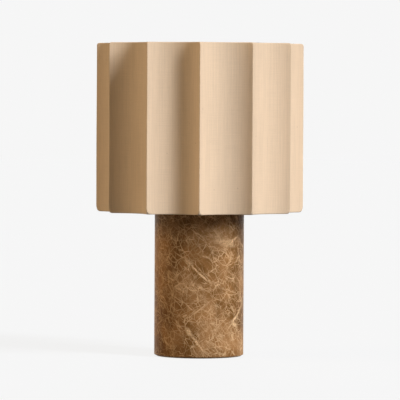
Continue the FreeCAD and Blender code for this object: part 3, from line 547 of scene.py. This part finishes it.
def make_thread(name, colour, rough, pitch):
    """Metal with a fine screw thread shown as bump."""
    finish = Finish(name, colour, rough, Metallic=1.0)
    waves = finish.waves(finish.place(), pitch, "Z", "TRI")
    haze = finish.noise(finish.place(), 60, 3, 0.6)
    finish.set("Roughness", finish.spread(haze, 0.3, 0.7, rough * 0.8, rough * 1.2))
    finish.bump(waves, 0.3 * MM, 0.8)
    return finish


def make_glass(name):
    """Clear glass with the slightest waviness."""
    finish = Finish(name, (1, 1, 1), 0.015, IOR=1.46, Transmission_Weight=1.0)
    finish.bump(finish.noise(finish.place(), 40, 2), 0.05 * MM, 0.25)
    return finish


FINISHES = {
    "shade_linen": make_linen(),
    "marble": make_marble(),
    "felt": make_felt(),
    "cork": make_cork(),
    "shade_lining": make_plain("lining", (0.80, 0.77, 0.71), 0.5, 300, 0.01 * MM, 0.02),
    "frame_wire": make_plain("powder_coat", (0.78, 0.77, 0.74), 0.42, 1800, 0.03 * MM, 0.03),
    "frame_steel": make_brushed("bright_wire", (0.62, 0.62, 0.63), 0.28),
    "zinc_steel": make_thread("zinc", (0.60, 0.60, 0.61), 0.35, 1.0 * MM),
    "brass_trim": make_brushed("brushed_brass", (0.70, 0.50, 0.25), 0.30),
    "contact_brass": make_brushed("bright_brass", (0.78, 0.58, 0.28), 0.22, 500),
    "holder_plastic": make_plain(
        "moulded_black", (0.028, 0.026, 0.024), 0.34, 700, 0.015 * MM, 0.15),
    "holder_ceramic": make_plain("porcelain", (0.80, 0.78, 0.73), 0.45, 500, 0.02 * MM, 0.03),
    "bush_plastic": make_plain("bush", (0.03, 0.026, 0.023), 0.45, 900, 0.02 * MM, 0.12),
    "bulb_insulator": make_plain("insulator", (0.02, 0.02, 0.024), 0.2, 500, 0.01 * MM, 0.1),
    "bulb_cap_metal": make_brushed("nickel", (0.66, 0.66, 0.66), 0.25),
    "bulb_glass": make_glass("bulb_glass_clear"),
    "stem_glass": make_glass("stem_glass_clear"),
    "driver_board": make_plain("board", (0.06, 0.20, 0.10), 0.45, 600, 0.02 * MM, 0.1),
    "filament": make_plain("phosphor", (0.85, 0.62, 0.18), 0.55, 1500, 0.02 * MM, 0.08),
}


# --- placing ---

def stand_in(piece, slot, *nodes):
    """The piece takes these CAD nodes' place, rides on their body and gets the slot's finish."""
    piece.data.materials.clear()
    piece.data.materials.append(FINISHES[slot].material)
    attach(piece, NODES[nodes[0]]["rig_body"])
    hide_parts(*nodes)


def dress(node, slot, bevel):
    """A CAD node that stays: its finish, and a small bevel on its edges."""
    item, sharp = NODES[node], radians(40)
    item.data.materials.clear()
    item.data.materials.append(FINISHES[slot].material)
    if bevel:
        ease = item.modifiers.new("eased", "BEVEL")
        ease.width, ease.segments, ease.limit_method = bevel, 2, "ANGLE"
        ease.angle_limit = sharp
    item.data.shade_smooth()
    item.data.set_sharp_from_angle(angle=sharp)


# --- the fluted shade ---

def flute_ring(inset, nose, height, waver=0.0):
    """One closed ring of points round the shade, starting on the nose of the back ridge.

    Every ring has the same count of points, so rings join up face by face.
    """
    arc = FLUTE_ARC + inset
    across = FLUTE_AXIS * sin(HALF)
    ridge = FLUTE_AXIS * cos(HALF) - sqrt((arc + nose) ** 2 - across ** 2)
    spread = atan2(ridge * sin(HALF), FLUTE_AXIS - ridge * cos(HALF))
    points, nose_steps = [], NOSE_STEPS // 2

    def nose_point(turn, share):
        """A point on the nose at direction turn; share runs from -1 to 1 across it."""
        angle = turn + share * (HALF + spread)
        return ridge * cos(turn) + nose * cos(angle), ridge * sin(turn) + nose * sin(angle)

    for flute in range(FLUTES):
        start = BACK + flute * 2 * HALF
        middle = start + HALF
        for step in range(nose_steps):
            points.append(nose_point(start, step / nose_steps))
        for step in range(FLUTE_STEPS + 1):
            angle = spread * (2 * step / FLUTE_STEPS - 1)
            x, y = FLUTE_AXIS - arc * cos(angle), arc * sin(angle)
            points.append(turned(x, y, middle))
        for step in range(1, nose_steps):
            points.append(nose_point(start + 2 * HALF, step / nose_steps - 1))
    made = []
    for x, y in points:
        at = (x * WAVER_ROUND, y * WAVER_ROUND, height * WAVER_UP)
        out = 1 + waver * noise.noise(at) / hypot(x, y)
        made.append(Vector((x * out, y * out, height)))
    return made


def ring_loft(name, rings):
    """Join rings of equal count into a closed surface."""
    points = [point for ring in rings for point in ring]
    return new_piece(name, points, loops(len(rings), len(rings[0])), 50)


def cloth_coordinates(piece, rings):
    """Store the length along the cloth and the height along it at every point."""
    lengths = [0.0]
    for before, after in zip(rings[0], rings[0][1:]):
        lengths.append(lengths[-1] + (after - before).length)
    values = []
    for ring in rings:
        for length, point in zip(lengths, ring):
            values.extend((length, point.z, 0.0))
    attribute = piece.data.attributes.new("cloth", "FLOAT_VECTOR", "POINT")
    attribute.data.foreach_set("vector", values)


def edge_nose(from_edge, softness):
    """The ridge's radius at a distance from the shade's edge, where its end is rounded off."""
    nose = NOSE + softness * max(0, 1 - from_edge / SOFT_REACH) ** 2
    if from_edge < CORNER:
        nose += (CORNER - sqrt(CORNER ** 2 - (CORNER - from_edge) ** 2)) * NOSE_SHARE
    return nose


def half_section(softness):
    """(inset, nose, distance from the edge) from mid-height outside, round the edge and back up."""
    half, roll = (SHADE_HIGH.z - SHADE_LOW.z) / 2, 1.0 * MM
    wire_in = WALL_IN + RING_WIRE
    hem_out = wire_in + HEM_CLOTH
    bend_up = 6.2 * MM                   # where the hem leaves the wire for the wall
    section = [(0.0, edge_nose(half, softness), half)]
    for down in (95, 70, 45, 28, 20, 16, 13, 10.5, 8.5, 7, 5.8, 5, 4.3, 3.8, 3.2, 2.6, 2.0, 1.5):
        section.append((0.0, edge_nose(down * MM, softness), down * MM))
    for step in range(1, 7):
        angle = pi / 2 * step / 6
        down = 1.2 * MM * (1 - sin(angle))
        inset = roll * (1 - cos(angle))
        section.append((inset, max(edge_nose(down, softness) - inset, 0.8 * MM), down))
    section.append((hem_out - roll, 1.6 * MM, 0.0))
    for step in range(1, 6):
        angle = pi / 2 * step / 5
        inset = hem_out - roll + roll * sin(angle)
        section.append((inset, 1.0 * MM, roll * (1 - cos(angle))))
    section += [
        # the hem's inside, round the wire
        (hem_out, 1.2 * MM, 3.4 * MM), (hem_out - 1.2 * MM, 2.2 * MM, 4.6 * MM),
        (WALL_IN + HEM_CLOTH, RIB_BRIDGE, bend_up), (WALL_IN + HEM_CLOTH, RIB_BRIDGE, HEM_TURN),
        # and its back
        (WALL_IN, RIB_BRIDGE, HEM_TURN), (WALL_IN, RIB_BRIDGE, bend_up),
        (wire_in - 1.2 * MM, 2.2 * MM, 4.3 * MM), (wire_in, 1.2 * MM, 3.0 * MM),
        (wire_in, 1.0 * MM, 1.4 * MM), (wire_in - 0.8 * MM, 1.0 * MM, 0.6 * MM),
        (COVER + 0.6 * MM, 1.6 * MM, 0.6 * MM),
        (COVER, edge_nose(1.4 * MM, softness) - COVER * 0.6, 1.4 * MM)]
    for up in (2.4 * MM, 3.4 * MM, 5 * MM, 7 * MM, 12 * MM, 40 * MM, 80 * MM, half):
        section.append((COVER, max(edge_nose(up, softness) - COVER, 0.3 * MM), up))
    return section


def cover_stations():
    """(inset, nose, height) round the cover's section; a ridge is softer at its foot."""
    low = [(inset, nose, SHADE_LOW.z + edge) for inset, nose, edge in half_section(SOFT_NOSE)]
    high = [(inset, nose, SHADE_HIGH.z - edge) for inset, nose, edge in half_section(0)[1:-1]]
    return low + high[::-1]


def make_cover():
    """Fabric on card, with its hems turned in round the wires."""
    rings = [flute_ring(*station, WAVER) for station in cover_stations()]
    cover = ring_loft("linen_cover", rings)
    cloth_coordinates(cover, rings)
    stand_in(cover, "shade_linen", "shade_cover")


def make_liner():
    """White film behind the fabric, between the hems."""
    trim, nose, steps = 1.6 * MM, 0.3 * MM, 8
    low, high = SHADE_LOW.z + trim, SHADE_HIGH.z - trim
    rings = []
    for inset, first, last in ((COVER + 0.02 * MM, low, high), (COVER + LINER, high, low)):
        for step in range(steps + 1):
            rings.append(flute_ring(inset, nose, first + (last - first) * step / steps, WAVER))
    stand_in(ring_loft("shade_lining_film", rings), "shade_lining", "shade_liner")


def make_wire_rings():
    """Round scalloped wires inside the hems."""
    for name, node in (("bottom_hoop", "shade_bottom_ring"), ("top_hoop", "shade_top_ring")):
        low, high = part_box(node)
        inset, bend = WALL_IN + RING_WIRE / 2, 2.4 * MM
        path = flute_ring(inset, bend, (low.z + high.z) / 2)
        stand_in(tube(name, path, RING_WIRE / 2, 10, closed=True), "frame_wire", node)


def make_ribs():
    """Upright wires in the ridges, with a drop of weld at each end."""
    for index in range(1, FLUTES + 1):
        node = f"rib_{index:02d}"
        low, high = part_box(node)
        centre, radius = (low + high) / 2, (high.x - low.x) / 2
        weld = 1.5 * radius
        ends = ((0, 0), (weld, 0), (weld, 0.4 * MM), (radius, 1.6 * MM))
        profile = [(across, low.z + up) for across, up in ends]
        profile += [(across, high.z - up) for across, up in reversed(ends)]
        rib = lathe(f"ridge_wire_{index:02d}", profile, 20, 60)
        move(rib, (centre.x, centre.y, 0))
        stand_in(rib, "frame_wire", node)


def arm_line(start, end, top, foot):
    """Points along an arm in its own plane: level, bend, slope, bend, level."""
    bend, seat, rest, steps = 8 * MM, 6 * MM, 5 * MM, 8
    leave, arrive = Vector((start + seat, top)), Vector((end - rest, foot))
    upper, lower = leave - Vector((0, bend)), arrive + Vector((0, bend))
    span = lower - upper
    slope = sqrt(span.length ** 2 - 4 * bend ** 2)
    dip = atan2(2 * bend, slope) - atan2(span.y, span.x)
    points = [Vector((start, top))]
    there = range(steps + 1)
    for centre, side, way in ((upper, bend, there), (lower, -bend, there[::-1])):
        for step in way:
            angle = dip * step / steps
            points.append(centre + Vector((sin(angle), cos(angle))) * side)
    points.append(Vector((end, foot)))
    return points


def make_spider():
    """Fitter plate and its bent arms."""
    low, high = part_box("spider_ring")
    rim, hole, ease = high.x, 21 * MM, 0.6 * MM
    corners = (hole, low.z), (rim, low.z), (rim, high.z), (hole, high.z)
    plate = lathe("fitter_plate", eased([(*corner, ease) for corner in corners]))
    stand_in(plate, "frame_wire", "spider_ring")
    wire, start = 1.75 * MM, 28.6 * MM
    end = FLUTE_AXIS - FLUTE_ARC - (WALL_IN + RING_WIRE)
    line = arm_line(start, end, low.z - wire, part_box("shade_bottom_ring")[0].z + RING_WIRE / 2)
    for index in range(1, 5):
        node = f"spider_arm_{index}"
        low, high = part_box(node)
        centre = (low + high) / 2
        turn = atan2(centre.y, centre.x)
        path = [Vector((*turned(p.x, 0, turn), p.y)) for p in line]
        stand_in(tube(f"arm_{index}", path, wire, 16), "frame_wire", node)


# --- column ---

def make_column():
    """Turned marble with its recess, bore, cable hole and spot face."""
    low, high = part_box("marble_column")
    outer, bore, recess, deep = high.y, 7 * MM, 26 * MM, low.z + 22 * MM
    cable_hole, spot_face, cable_height = 5 * MM, 8.4 * MM, low.z + 11 * MM
    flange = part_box("cable_bush")[1].y - BUSH_FLANGE
    profile = eased([
        (recess, low.z, 0.5 * MM), (outer, low.z, 1.0 * MM), (outer, high.z, 0.9 * MM),
        (bore, high.z, 0.4 * MM), (bore, deep), (recess, deep)], 6)
    column = lathe("marble_drum", profile, 192, 30)
    beyond, inside = 0.1, 10 * MM        # the drill's length, and its start in the recess
    cut_away(column, [drill(cable_hole, beyond, inside, cable_height),
                      drill(spot_face, beyond, flange, cable_height)], 30)
    stand_in(column, "marble", "marble_column")


def make_bush():
    """Flanged bush that lines the cable hole."""
    low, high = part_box("cable_bush")
    bore, barrel, rim, long = 3.5 * MM, 4.95 * MM, high.x, high.y - low.y
    face = long - BUSH_FLANGE
    profile = eased([(bore, 0, 0.4 * MM), (barrel, 0, 0.5 * MM), (barrel, face),
                     (rim, face, 0.3 * MM), (rim, long, 1.2 * MM), (bore, long, 1.4 * MM)], 6)
    bush = lay_back(lathe("cable_outlet_bush", profile, 64), low.y, (low.z + high.z) / 2)
    stand_in(bush, "bush_plastic", "cable_bush")


def make_felt_pad():
    """Felt disc under the column."""
    low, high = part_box("base_felt")
    rim = high.x
    profile = eased([(0, low.z), (rim, low.z, 0.5 * MM), (rim, high.z, 0.3 * MM), (0, high.z)])
    pad = lathe("felt_pad", profile, 128)
    stand_in(pad, "felt", "base_felt")


def make_cap():
    """Cork washer, brass cap and knurled locknut on the column."""
    low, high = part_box("cap_gasket")
    rim, hole, ease = high.x, 5.3 * MM, 0.25 * MM
    gasket = eased([(hole, low.z), (rim, low.z, ease), (rim, high.z, ease), (hole, high.z)])
    stand_in(lathe("cork_washer", gasket), "cork", "cap_gasket")

    low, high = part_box("column_cap")
    rim, hub, flange = high.x, 12 * MM, low.z + 3 * MM
    cap = eased([
        (TUBE_THREAD, low.z), (rim, low.z, 0.4 * MM), (rim, flange, 1.5 * MM),
        (hub, flange, 2.5 * MM), (hub, high.z, 0.5 * MM), (TUBE_THREAD, high.z, 0.2 * MM)], 8)
    stand_in(lathe("brass_cap", cap, 128), "brass_trim", "column_cap")

    low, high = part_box("holder_locknut")
    rim, chamfer, depth, teeth = high.x, 0.7 * MM, 0.35 * MM, 48
    half = ((TUBE_THREAD, 0, 0), (rim - chamfer, 0, 0), (rim, chamfer, depth))
    rows = [(radius, low.z + up, cut) for radius, up, cut in half]
    rows += [(radius, high.z - up, cut) for radius, up, cut in reversed(half)]
    nut = lathe("knurled_locknut", rows, teeth * 4, 30,
                lambda row, turn: row[0] - row[2] * wave(teeth * turn))
    stand_in(nut, "brass_trim", "holder_locknut")


# --- lamp holder ---

def make_dome():
    """Bell with its neck and its spigot for the skirt, and the grub screw in the neck."""
    low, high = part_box("holder_dome")
    neck, bell, spigot, wall = 8 * MM, high.x, 17.6 * MM, 1.8 * MM
    collar, shoulder = low.z + 8 * MM, low.z + 20 * MM
    dome = lathe("holder_bell", eased([
        (TUBE_THREAD, low.z), (neck, low.z, 0.5 * MM), (neck, collar, 2 * MM),
        (bell - 5 * MM, collar + 3.2 * MM, 6 * MM), (bell, collar + 9 * MM, 3 * MM),
        (bell, shoulder, 0.4 * MM), (spigot, shoulder), (spigot, high.z, 0.3 * MM),
        (spigot - wall, high.z), (spigot - wall, high.z - 10.2 * MM, 0.5 * MM),
        (neck, collar + wall, 0.5 * MM), (TUBE_THREAD, collar + wall)], 6))
    low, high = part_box("holder_set_screw")
    height, hole = (low.z + high.z) / 2, 1.6 * MM
    cut_away(dome, [drill(hole, 0.02, 0.1 * MM, height, 32)])
    stand_in(dome, "holder_plastic", "holder_dome")

    radius, long, slot = high.x, high.y - low.y, 0.25 * MM
    grub = lathe("grub_screw", [
        (0, 0), (radius * 0.6, 0), (radius, 0.6 * MM), (radius, long - 0.2 * MM),
        (radius - 0.2 * MM, long), (0, long)], 32)
    cut_away(grub, [new_box((-radius * 2, -slot, long - 0.9 * MM),
                            (radius * 2, slot, long + 1 * MM))])
    stand_in(lay_back(grub, low.y, height), "zinc_steel", "holder_set_screw")


def make_skirt():
    """Skirt with its outside thread for the shade rings."""
    low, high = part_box("holder_skirt")
    outer, mouth, inner, ledge = high.x, 15 * MM, 17.65 * MM, low.z + 9 * MM
    foot, top, depth = low.z + 1 * MM, high.z - 1 * MM, 0.9 * MM
    profile = [(inner, low.z), (outer - 0.5 * MM, low.z)]
    profile += wall_rows(outer, foot, top, SKIRT_PITCH / 8, depth)
    profile += [(outer - 1 * MM, high.z), (mouth + 0.6 * MM, high.z), (mouth, high.z - 0.6 * MM),
                (mouth, ledge), (inner, ledge)]
    skirt = lathe("threaded_skirt", profile, ROUND, 50, helix(SKIRT_PITCH, foot, top))
    stand_in(skirt, "holder_plastic", "holder_skirt")


def make_shell():
    """Screw shell with its inward floor."""
    low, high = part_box("holder_shell")
    outer, floor_hole, depth = high.x, 9.5 * MM, 0.9 * MM
    rows = wall_rows(outer, low.z + 1 * MM, high.z - 0.8 * MM, BULB_PITCH / 10, depth)
    end = [(outer - 0.6 * MM, low.z), (floor_hole, low.z), (floor_hole, low.z + SHEET)]
    stand_in(rolled_shell("screw_shell", rows, end), "contact_brass", "holder_shell")


def rolled_shell(name, rows, end):
    """A thin shell with a rolled thread; end holds the points that close its floor."""
    inside = [(radius - SHEET, height, depth) for radius, height, depth in reversed(rows)]
    thread = helix(BULB_PITCH, rows[0][1], rows[-1][1], 1.5)
    return lathe(name, rows + inside + end[::-1], ROUND, 60, thread)


def new_box(low, high):
    """A box that cuts a slot."""
    xs, ys, zs = zip(low, high)
    points = [(x, y, z) for x in xs for y in ys for z in zs]
    faces = [(0, 1, 3, 2), (4, 6, 7, 5), (0, 4, 5, 1), (2, 3, 7, 6), (0, 2, 6, 4), (1, 5, 7, 3)]
    return new_piece("tool", points, faces)


def make_contact():
    """Sprung strip that rises smoothly to a level end, narrower at its tip."""
    low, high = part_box("holder_centre_contact")
    wide, thick, steps = high.y, 0.6 * MM, 24
    climb, tip = 0.62, 0.25              # the shares of its length that rise and that narrow
    points = []
    for step in range(steps + 1):
        share = step / steps
        rise = min(1, share / climb)
        rise = rise * rise * (3 - 2 * rise)
        x = low.x + (high.x - low.x) * share
        z = low.z + thick + (high.z - low.z - thick) * rise
        half = wide * (1 - 0.25 * max(0, (share - 1 + tip) / tip) ** 2)
        points += [(x, -half, z), (x, half, z), (x, half, z - thick), (x, -half, z - thick)]
    faces = loops(steps + 1, 4, False)
    faces += [(0, 1, 2, 3), tuple(steps * 4 + corner for corner in (3, 2, 1, 0))]
    contact = new_piece("contact_spring", points, faces, 40)
    stand_in(contact, "contact_brass", "holder_centre_contact")


def make_shade_rings():
    """Two moulded rings with finger grips and an inside thread."""
    for end in ("lower", "upper"):
        node = f"shade_ring_{end}"
        low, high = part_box(node)
        rim, hub, bore, flange, tall = high.x, 23.5 * MM, 20.05 * MM, 2 * MM, high.z - low.z
        edge, ease, thread_depth, grip_depth = 0.5 * MM, 0.7 * MM, 0.5 * MM, 1.2 * MM
        rows = [(bore, 0, 0), (rim - 0.4 * MM, 0, 0), (rim, 0.4 * MM, 0), (rim, flange - edge, 0),
                (rim - edge, flange, 0), (hub + ease, flange, 0.4), (hub, flange + ease, 1),
                (hub, tall - ease, 1), (hub - ease, tall, 0.8), (bore + edge, tall, 0)]
        inside = wall_rows(bore, 0.2 * MM, tall - 0.1 * MM, SKIRT_PITCH / 8, -thread_depth)
        thread = helix(SKIRT_PITCH, 0, tall, 2)

        def shape(row, turn):
            """The thread inside, and grips outside as deep as the row's third value."""
            if row[2] < 0:
                return thread(row, turn)
            return row[0] - row[2] * grip_depth * wave(GRIPS * turn) ** 2

        ring = lathe(f"{end}_shade_ring", rows + inside[::-1], GRIPS * 14, 50, shape)
        if end == "lower":               # its flange is at the top
            move(ring, (0, 0, high.z), Matrix.Rotation(pi, 4, "X"))
        else:
            move(ring, (0, 0, low.z))
        stand_in(ring, "holder_plastic", node)


# --- bulb ---

def glass_profile(wall, steps=12):
    """(radius, height above the neck's foot) up the candle-shaped glass, wall inside its skin."""
    neck, belly = 12.55 * MM - wall, 17.5 * MM - wall
    deep, swell, taper = 6 * MM, 27 * MM, 46 * MM - wall
    points = [(neck, 0)]
    for step in range(steps):
        share = step / steps
        ease = sin(pi / 2 * share) ** 1.25
        points.append((neck + (belly - neck) * ease, deep + swell * share))
    for step in range(steps * 2):
        angle = pi / 2 * step / (steps * 2)
        points.append((belly * cos(angle) ** 1.08, deep + swell + taper * sin(angle)))
    points.append((0, deep + swell + taper))
    return points


def make_bulb():
    """Candle bulb: glass, screw cap, insulator, contact, stem and filaments."""
    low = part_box("bulb_glass")[0]
    skin = glass_profile(0) + glass_profile(0.8 * MM)[::-1]
    glass = lathe("candle_glass", [(radius, low.z + height) for radius, height in skin], 72, 60)
    stand_in(glass, "bulb_glass", "bulb_glass")

    low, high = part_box("bulb_cap")
    neck, foot, hole = high.x - 0.3 * MM, 10.5 * MM, 5 * MM
    rows = wall_rows(high.x, low.z + 3.2 * MM, high.z, BULB_PITCH / 10, 0.8 * MM)
    end = [(neck, low.z + 2.4 * MM), (foot, low.z), (hole, low.z), (hole, low.z + SHEET),
           (foot - SHEET, low.z + SHEET), (neck - SHEET, low.z + 2.6 * MM)]
    stand_in(rolled_shell("bulb_screw_cap", rows, end), "bulb_cap_metal", "bulb_cap")

    low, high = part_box("bulb_insulator")
    small, large = 7 * MM, high.x
    ring = eased([(0, low.z), (small, low.z, 0.6 * MM), (large, high.z - 0.6 * MM, 2 * MM),
                  (large, high.z), (0, high.z)])
    stand_in(lathe("bulb_insulator_ring", ring), "bulb_insulator", "bulb_insulator")

    low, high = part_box("bulb_tip")
    button = eased([(0, low.z), (high.x, low.z, 0.8 * MM), (high.x, high.z), (0, high.z)])
    stand_in(lathe("bulb_contact_button", button, 48), "frame_steel", "bulb_tip")

    low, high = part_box("bulb_stem")
    flare, radius = high.x, 2.5 * MM
    stem = eased([(0, low.z), (flare, low.z, 0.3 * MM), (radius, low.z + 4 * MM, 3 * MM),
                  (radius, high.z, 1.2 * MM), (0, high.z)], 6)
    stand_in(lathe("glass_stem", stem, 48), "stem_glass", "bulb_stem")

    for index in range(1, 5):
        node = f"filament_{index}"
        low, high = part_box(node)
        centre, radius, ease = (low + high) / 2, (high.x - low.x) / 2, 0.7 * MM
        stick = eased([(0, low.z), (radius, low.z, ease), (radius, high.z, ease), (0, high.z)])
        stick = lathe(f"led_filament_{index}", stick, 20)
        move(stick, (centre.x, centre.y, 0))
        stand_in(stick, "filament", node)


# --- CAD nodes that stay ---

def dress_nodes():
    """Finish and ease the small solids that are shown as they are."""
    for slot, bevel, *nodes in (
            ("zinc_steel", 0.0, "threaded_tube"),
            ("frame_steel", 0.25 * MM, "base_washer", "base_lock_washer", "base_nut"),
            ("holder_ceramic", 0.4 * MM, "holder_insert"),
            ("contact_brass", 0.3 * MM, "terminal_screws"),
            ("driver_board", 0.1 * MM, "bulb_driver"),
            ("frame_steel", 0.1 * MM, "filament_cross_lower", "filament_cross_upper")):
        for node in nodes:
            dress(node, slot, bevel)


# --- stage ---

PAPER = 0.9225                       # the backdrop's tone
WORLD_LIGHT = 0.13
WORLD_TINT = (1.0, 0.79, 0.50)
FLOOR_BOUNCE = 0.13                  # the floor's tone in the light that it throws back
SHADOW_SHARE = 0.08                  # how much of the floor's own shading shows
FLOOR = -0.1 * MM                    # just under the felt
FLOOR_REACH = 14
SUNS = (                             # azimuth right of the front, elevation, strength, angle, tint
    ("key_low", 52, 15, 1.02, 12, (1, 1, 1)),
    ("key_middle", 52, 26, 1.08, 12, (1, 1, 1)),
    ("key_high", 52, 38, 1.24, 12, (1, 1, 1)),
    ("fill", -80, 20, 1.22, 45, (1.0, 0.75, 0.46)),
    ("back", 180, 9, 1.5, 30, (1.0, 0.93, 0.84)),
)

LENS, SENSOR = 307, 36
CAMERA_AT = (0.0007, -4.62, 0.354)
CAMERA_AIM = (0.0007, 0, 0.2109)
CAMERA_ROLL = 0.3                    # degrees: the lamp leans this much in the photograph


def seen_rays(tree):
    """1 in the rays that see the backdrop itself: straight, mirrored or through glass."""
    paths = tree.nodes.new("ShaderNodeLightPath").outputs
    seen = paths["Is Camera Ray"]
    for ray in ("Is Glossy Ray", "Is Transmission Ray"):
        seen = add_node(tree, "Math", {0: seen, 1: paths[ray]}, operation="MAXIMUM")
    return seen


def make_suns():
    """Aim the suns at the lamp, and return the light that they and the world give the floor."""
    floor_light = WORLD_LIGHT * Vector(WORLD_TINT)
    for name, azimuth, elevation, strength, angle, tint in SUNS:
        lamp = bpy.data.lights.new(name, "SUN")
        lamp.energy, lamp.angle, lamp.color = strength, radians(angle), tint
        item = new_object(name, lamp)
        a, e = radians(azimuth), radians(elevation)
        towards = Vector((sin(a) * cos(e), -cos(a) * cos(e), sin(e)))
        item.rotation_mode = "QUATERNION"
        item.rotation_quaternion = towards.to_track_quat("Z", "Y")
        floor_light += Vector(tint) * (strength * sin(e) / pi)
    return floor_light


def make_stage():
    """Suns, a world that is paper to the eye and dimmer as a light, and a floor to match it."""
    floor_light = make_suns()
    scene = bpy.context.scene
    scene.world = bpy.data.worlds.new("studio")
    scene.world.use_nodes = True
    tree = scene.world.node_tree
    shade = tree.nodes["Background"].inputs
    seen = seen_rays(tree)
    level = add_node(tree, "MapRange", {"Value": seen, "To Min": WORLD_LIGHT, "To Max": PAPER})
    tint = add_node(tree, "Mix", {0: seen, 6: (*WORLD_TINT, 1), 7: (1, 1, 1, 1)}, 2,
                    data_type="RGBA")
    tree.links.new(level, shade["Strength"])
    tree.links.new(tint, shade["Color"])

    reach = FLOOR_REACH
    floor = new_piece("floor", [(x, y, FLOOR) for x, y in (
        (-reach, -reach), (reach, -reach), (reach, reach), (-reach, reach))], [(0, 1, 2, 3)])
    paper = bpy.data.materials.new("paper")
    paper.use_nodes = True
    tree = paper.node_tree
    tree.nodes.clear()
    seen = seen_rays(tree)
    bounce, lit = (FLOOR_BOUNCE,) * 3, (PAPER / light for light in floor_light)
    tone = add_node(tree, "Mix", {0: seen, 6: (*bounce, 1), 7: (*lit, 1)}, 2, data_type="RGBA")
    matt = add_node(tree, "BsdfDiffuse", {"Color": tone})
    glow = add_node(tree, "Emission", {"Color": (PAPER, PAPER, PAPER, 1)})
    share = add_node(tree, "Math", {0: seen, 1: 1 - SHADOW_SHARE}, operation="MULTIPLY")
    both = add_node(tree, "MixShader", {0: share, 1: matt, 2: glow})
    tree.links.new(both, tree.nodes.new("ShaderNodeOutputMaterial").inputs["Surface"])
    floor.data.materials.append(paper)

    scene.view_settings.view_transform = "Standard"


def make_camera():
    """A long lens a little above the lamp."""
    camera = bpy.data.cameras.new("camera")
    camera.lens, camera.sensor_width = LENS, SENSOR
    camera.clip_start, camera.clip_end = 0.05, 40
    item = new_object("camera", camera)
    item.location = CAMERA_AT
    aim = (Vector(CAMERA_AIM) - item.location).to_track_quat("-Z", "Y")
    item.rotation_mode = "QUATERNION"
    item.rotation_quaternion = aim @ Quaternion((0, 0, 1), radians(CAMERA_ROLL))
    bpy.context.scene.camera = item


make_camera()
make_stage()
make_cover()
make_liner()
make_wire_rings()
make_ribs()
make_spider()
make_column()
make_bush()
make_felt_pad()
make_cap()
make_dome()
make_skirt()
make_shell()
make_contact()
make_shade_rings()
make_bulb()
dress_nodes()
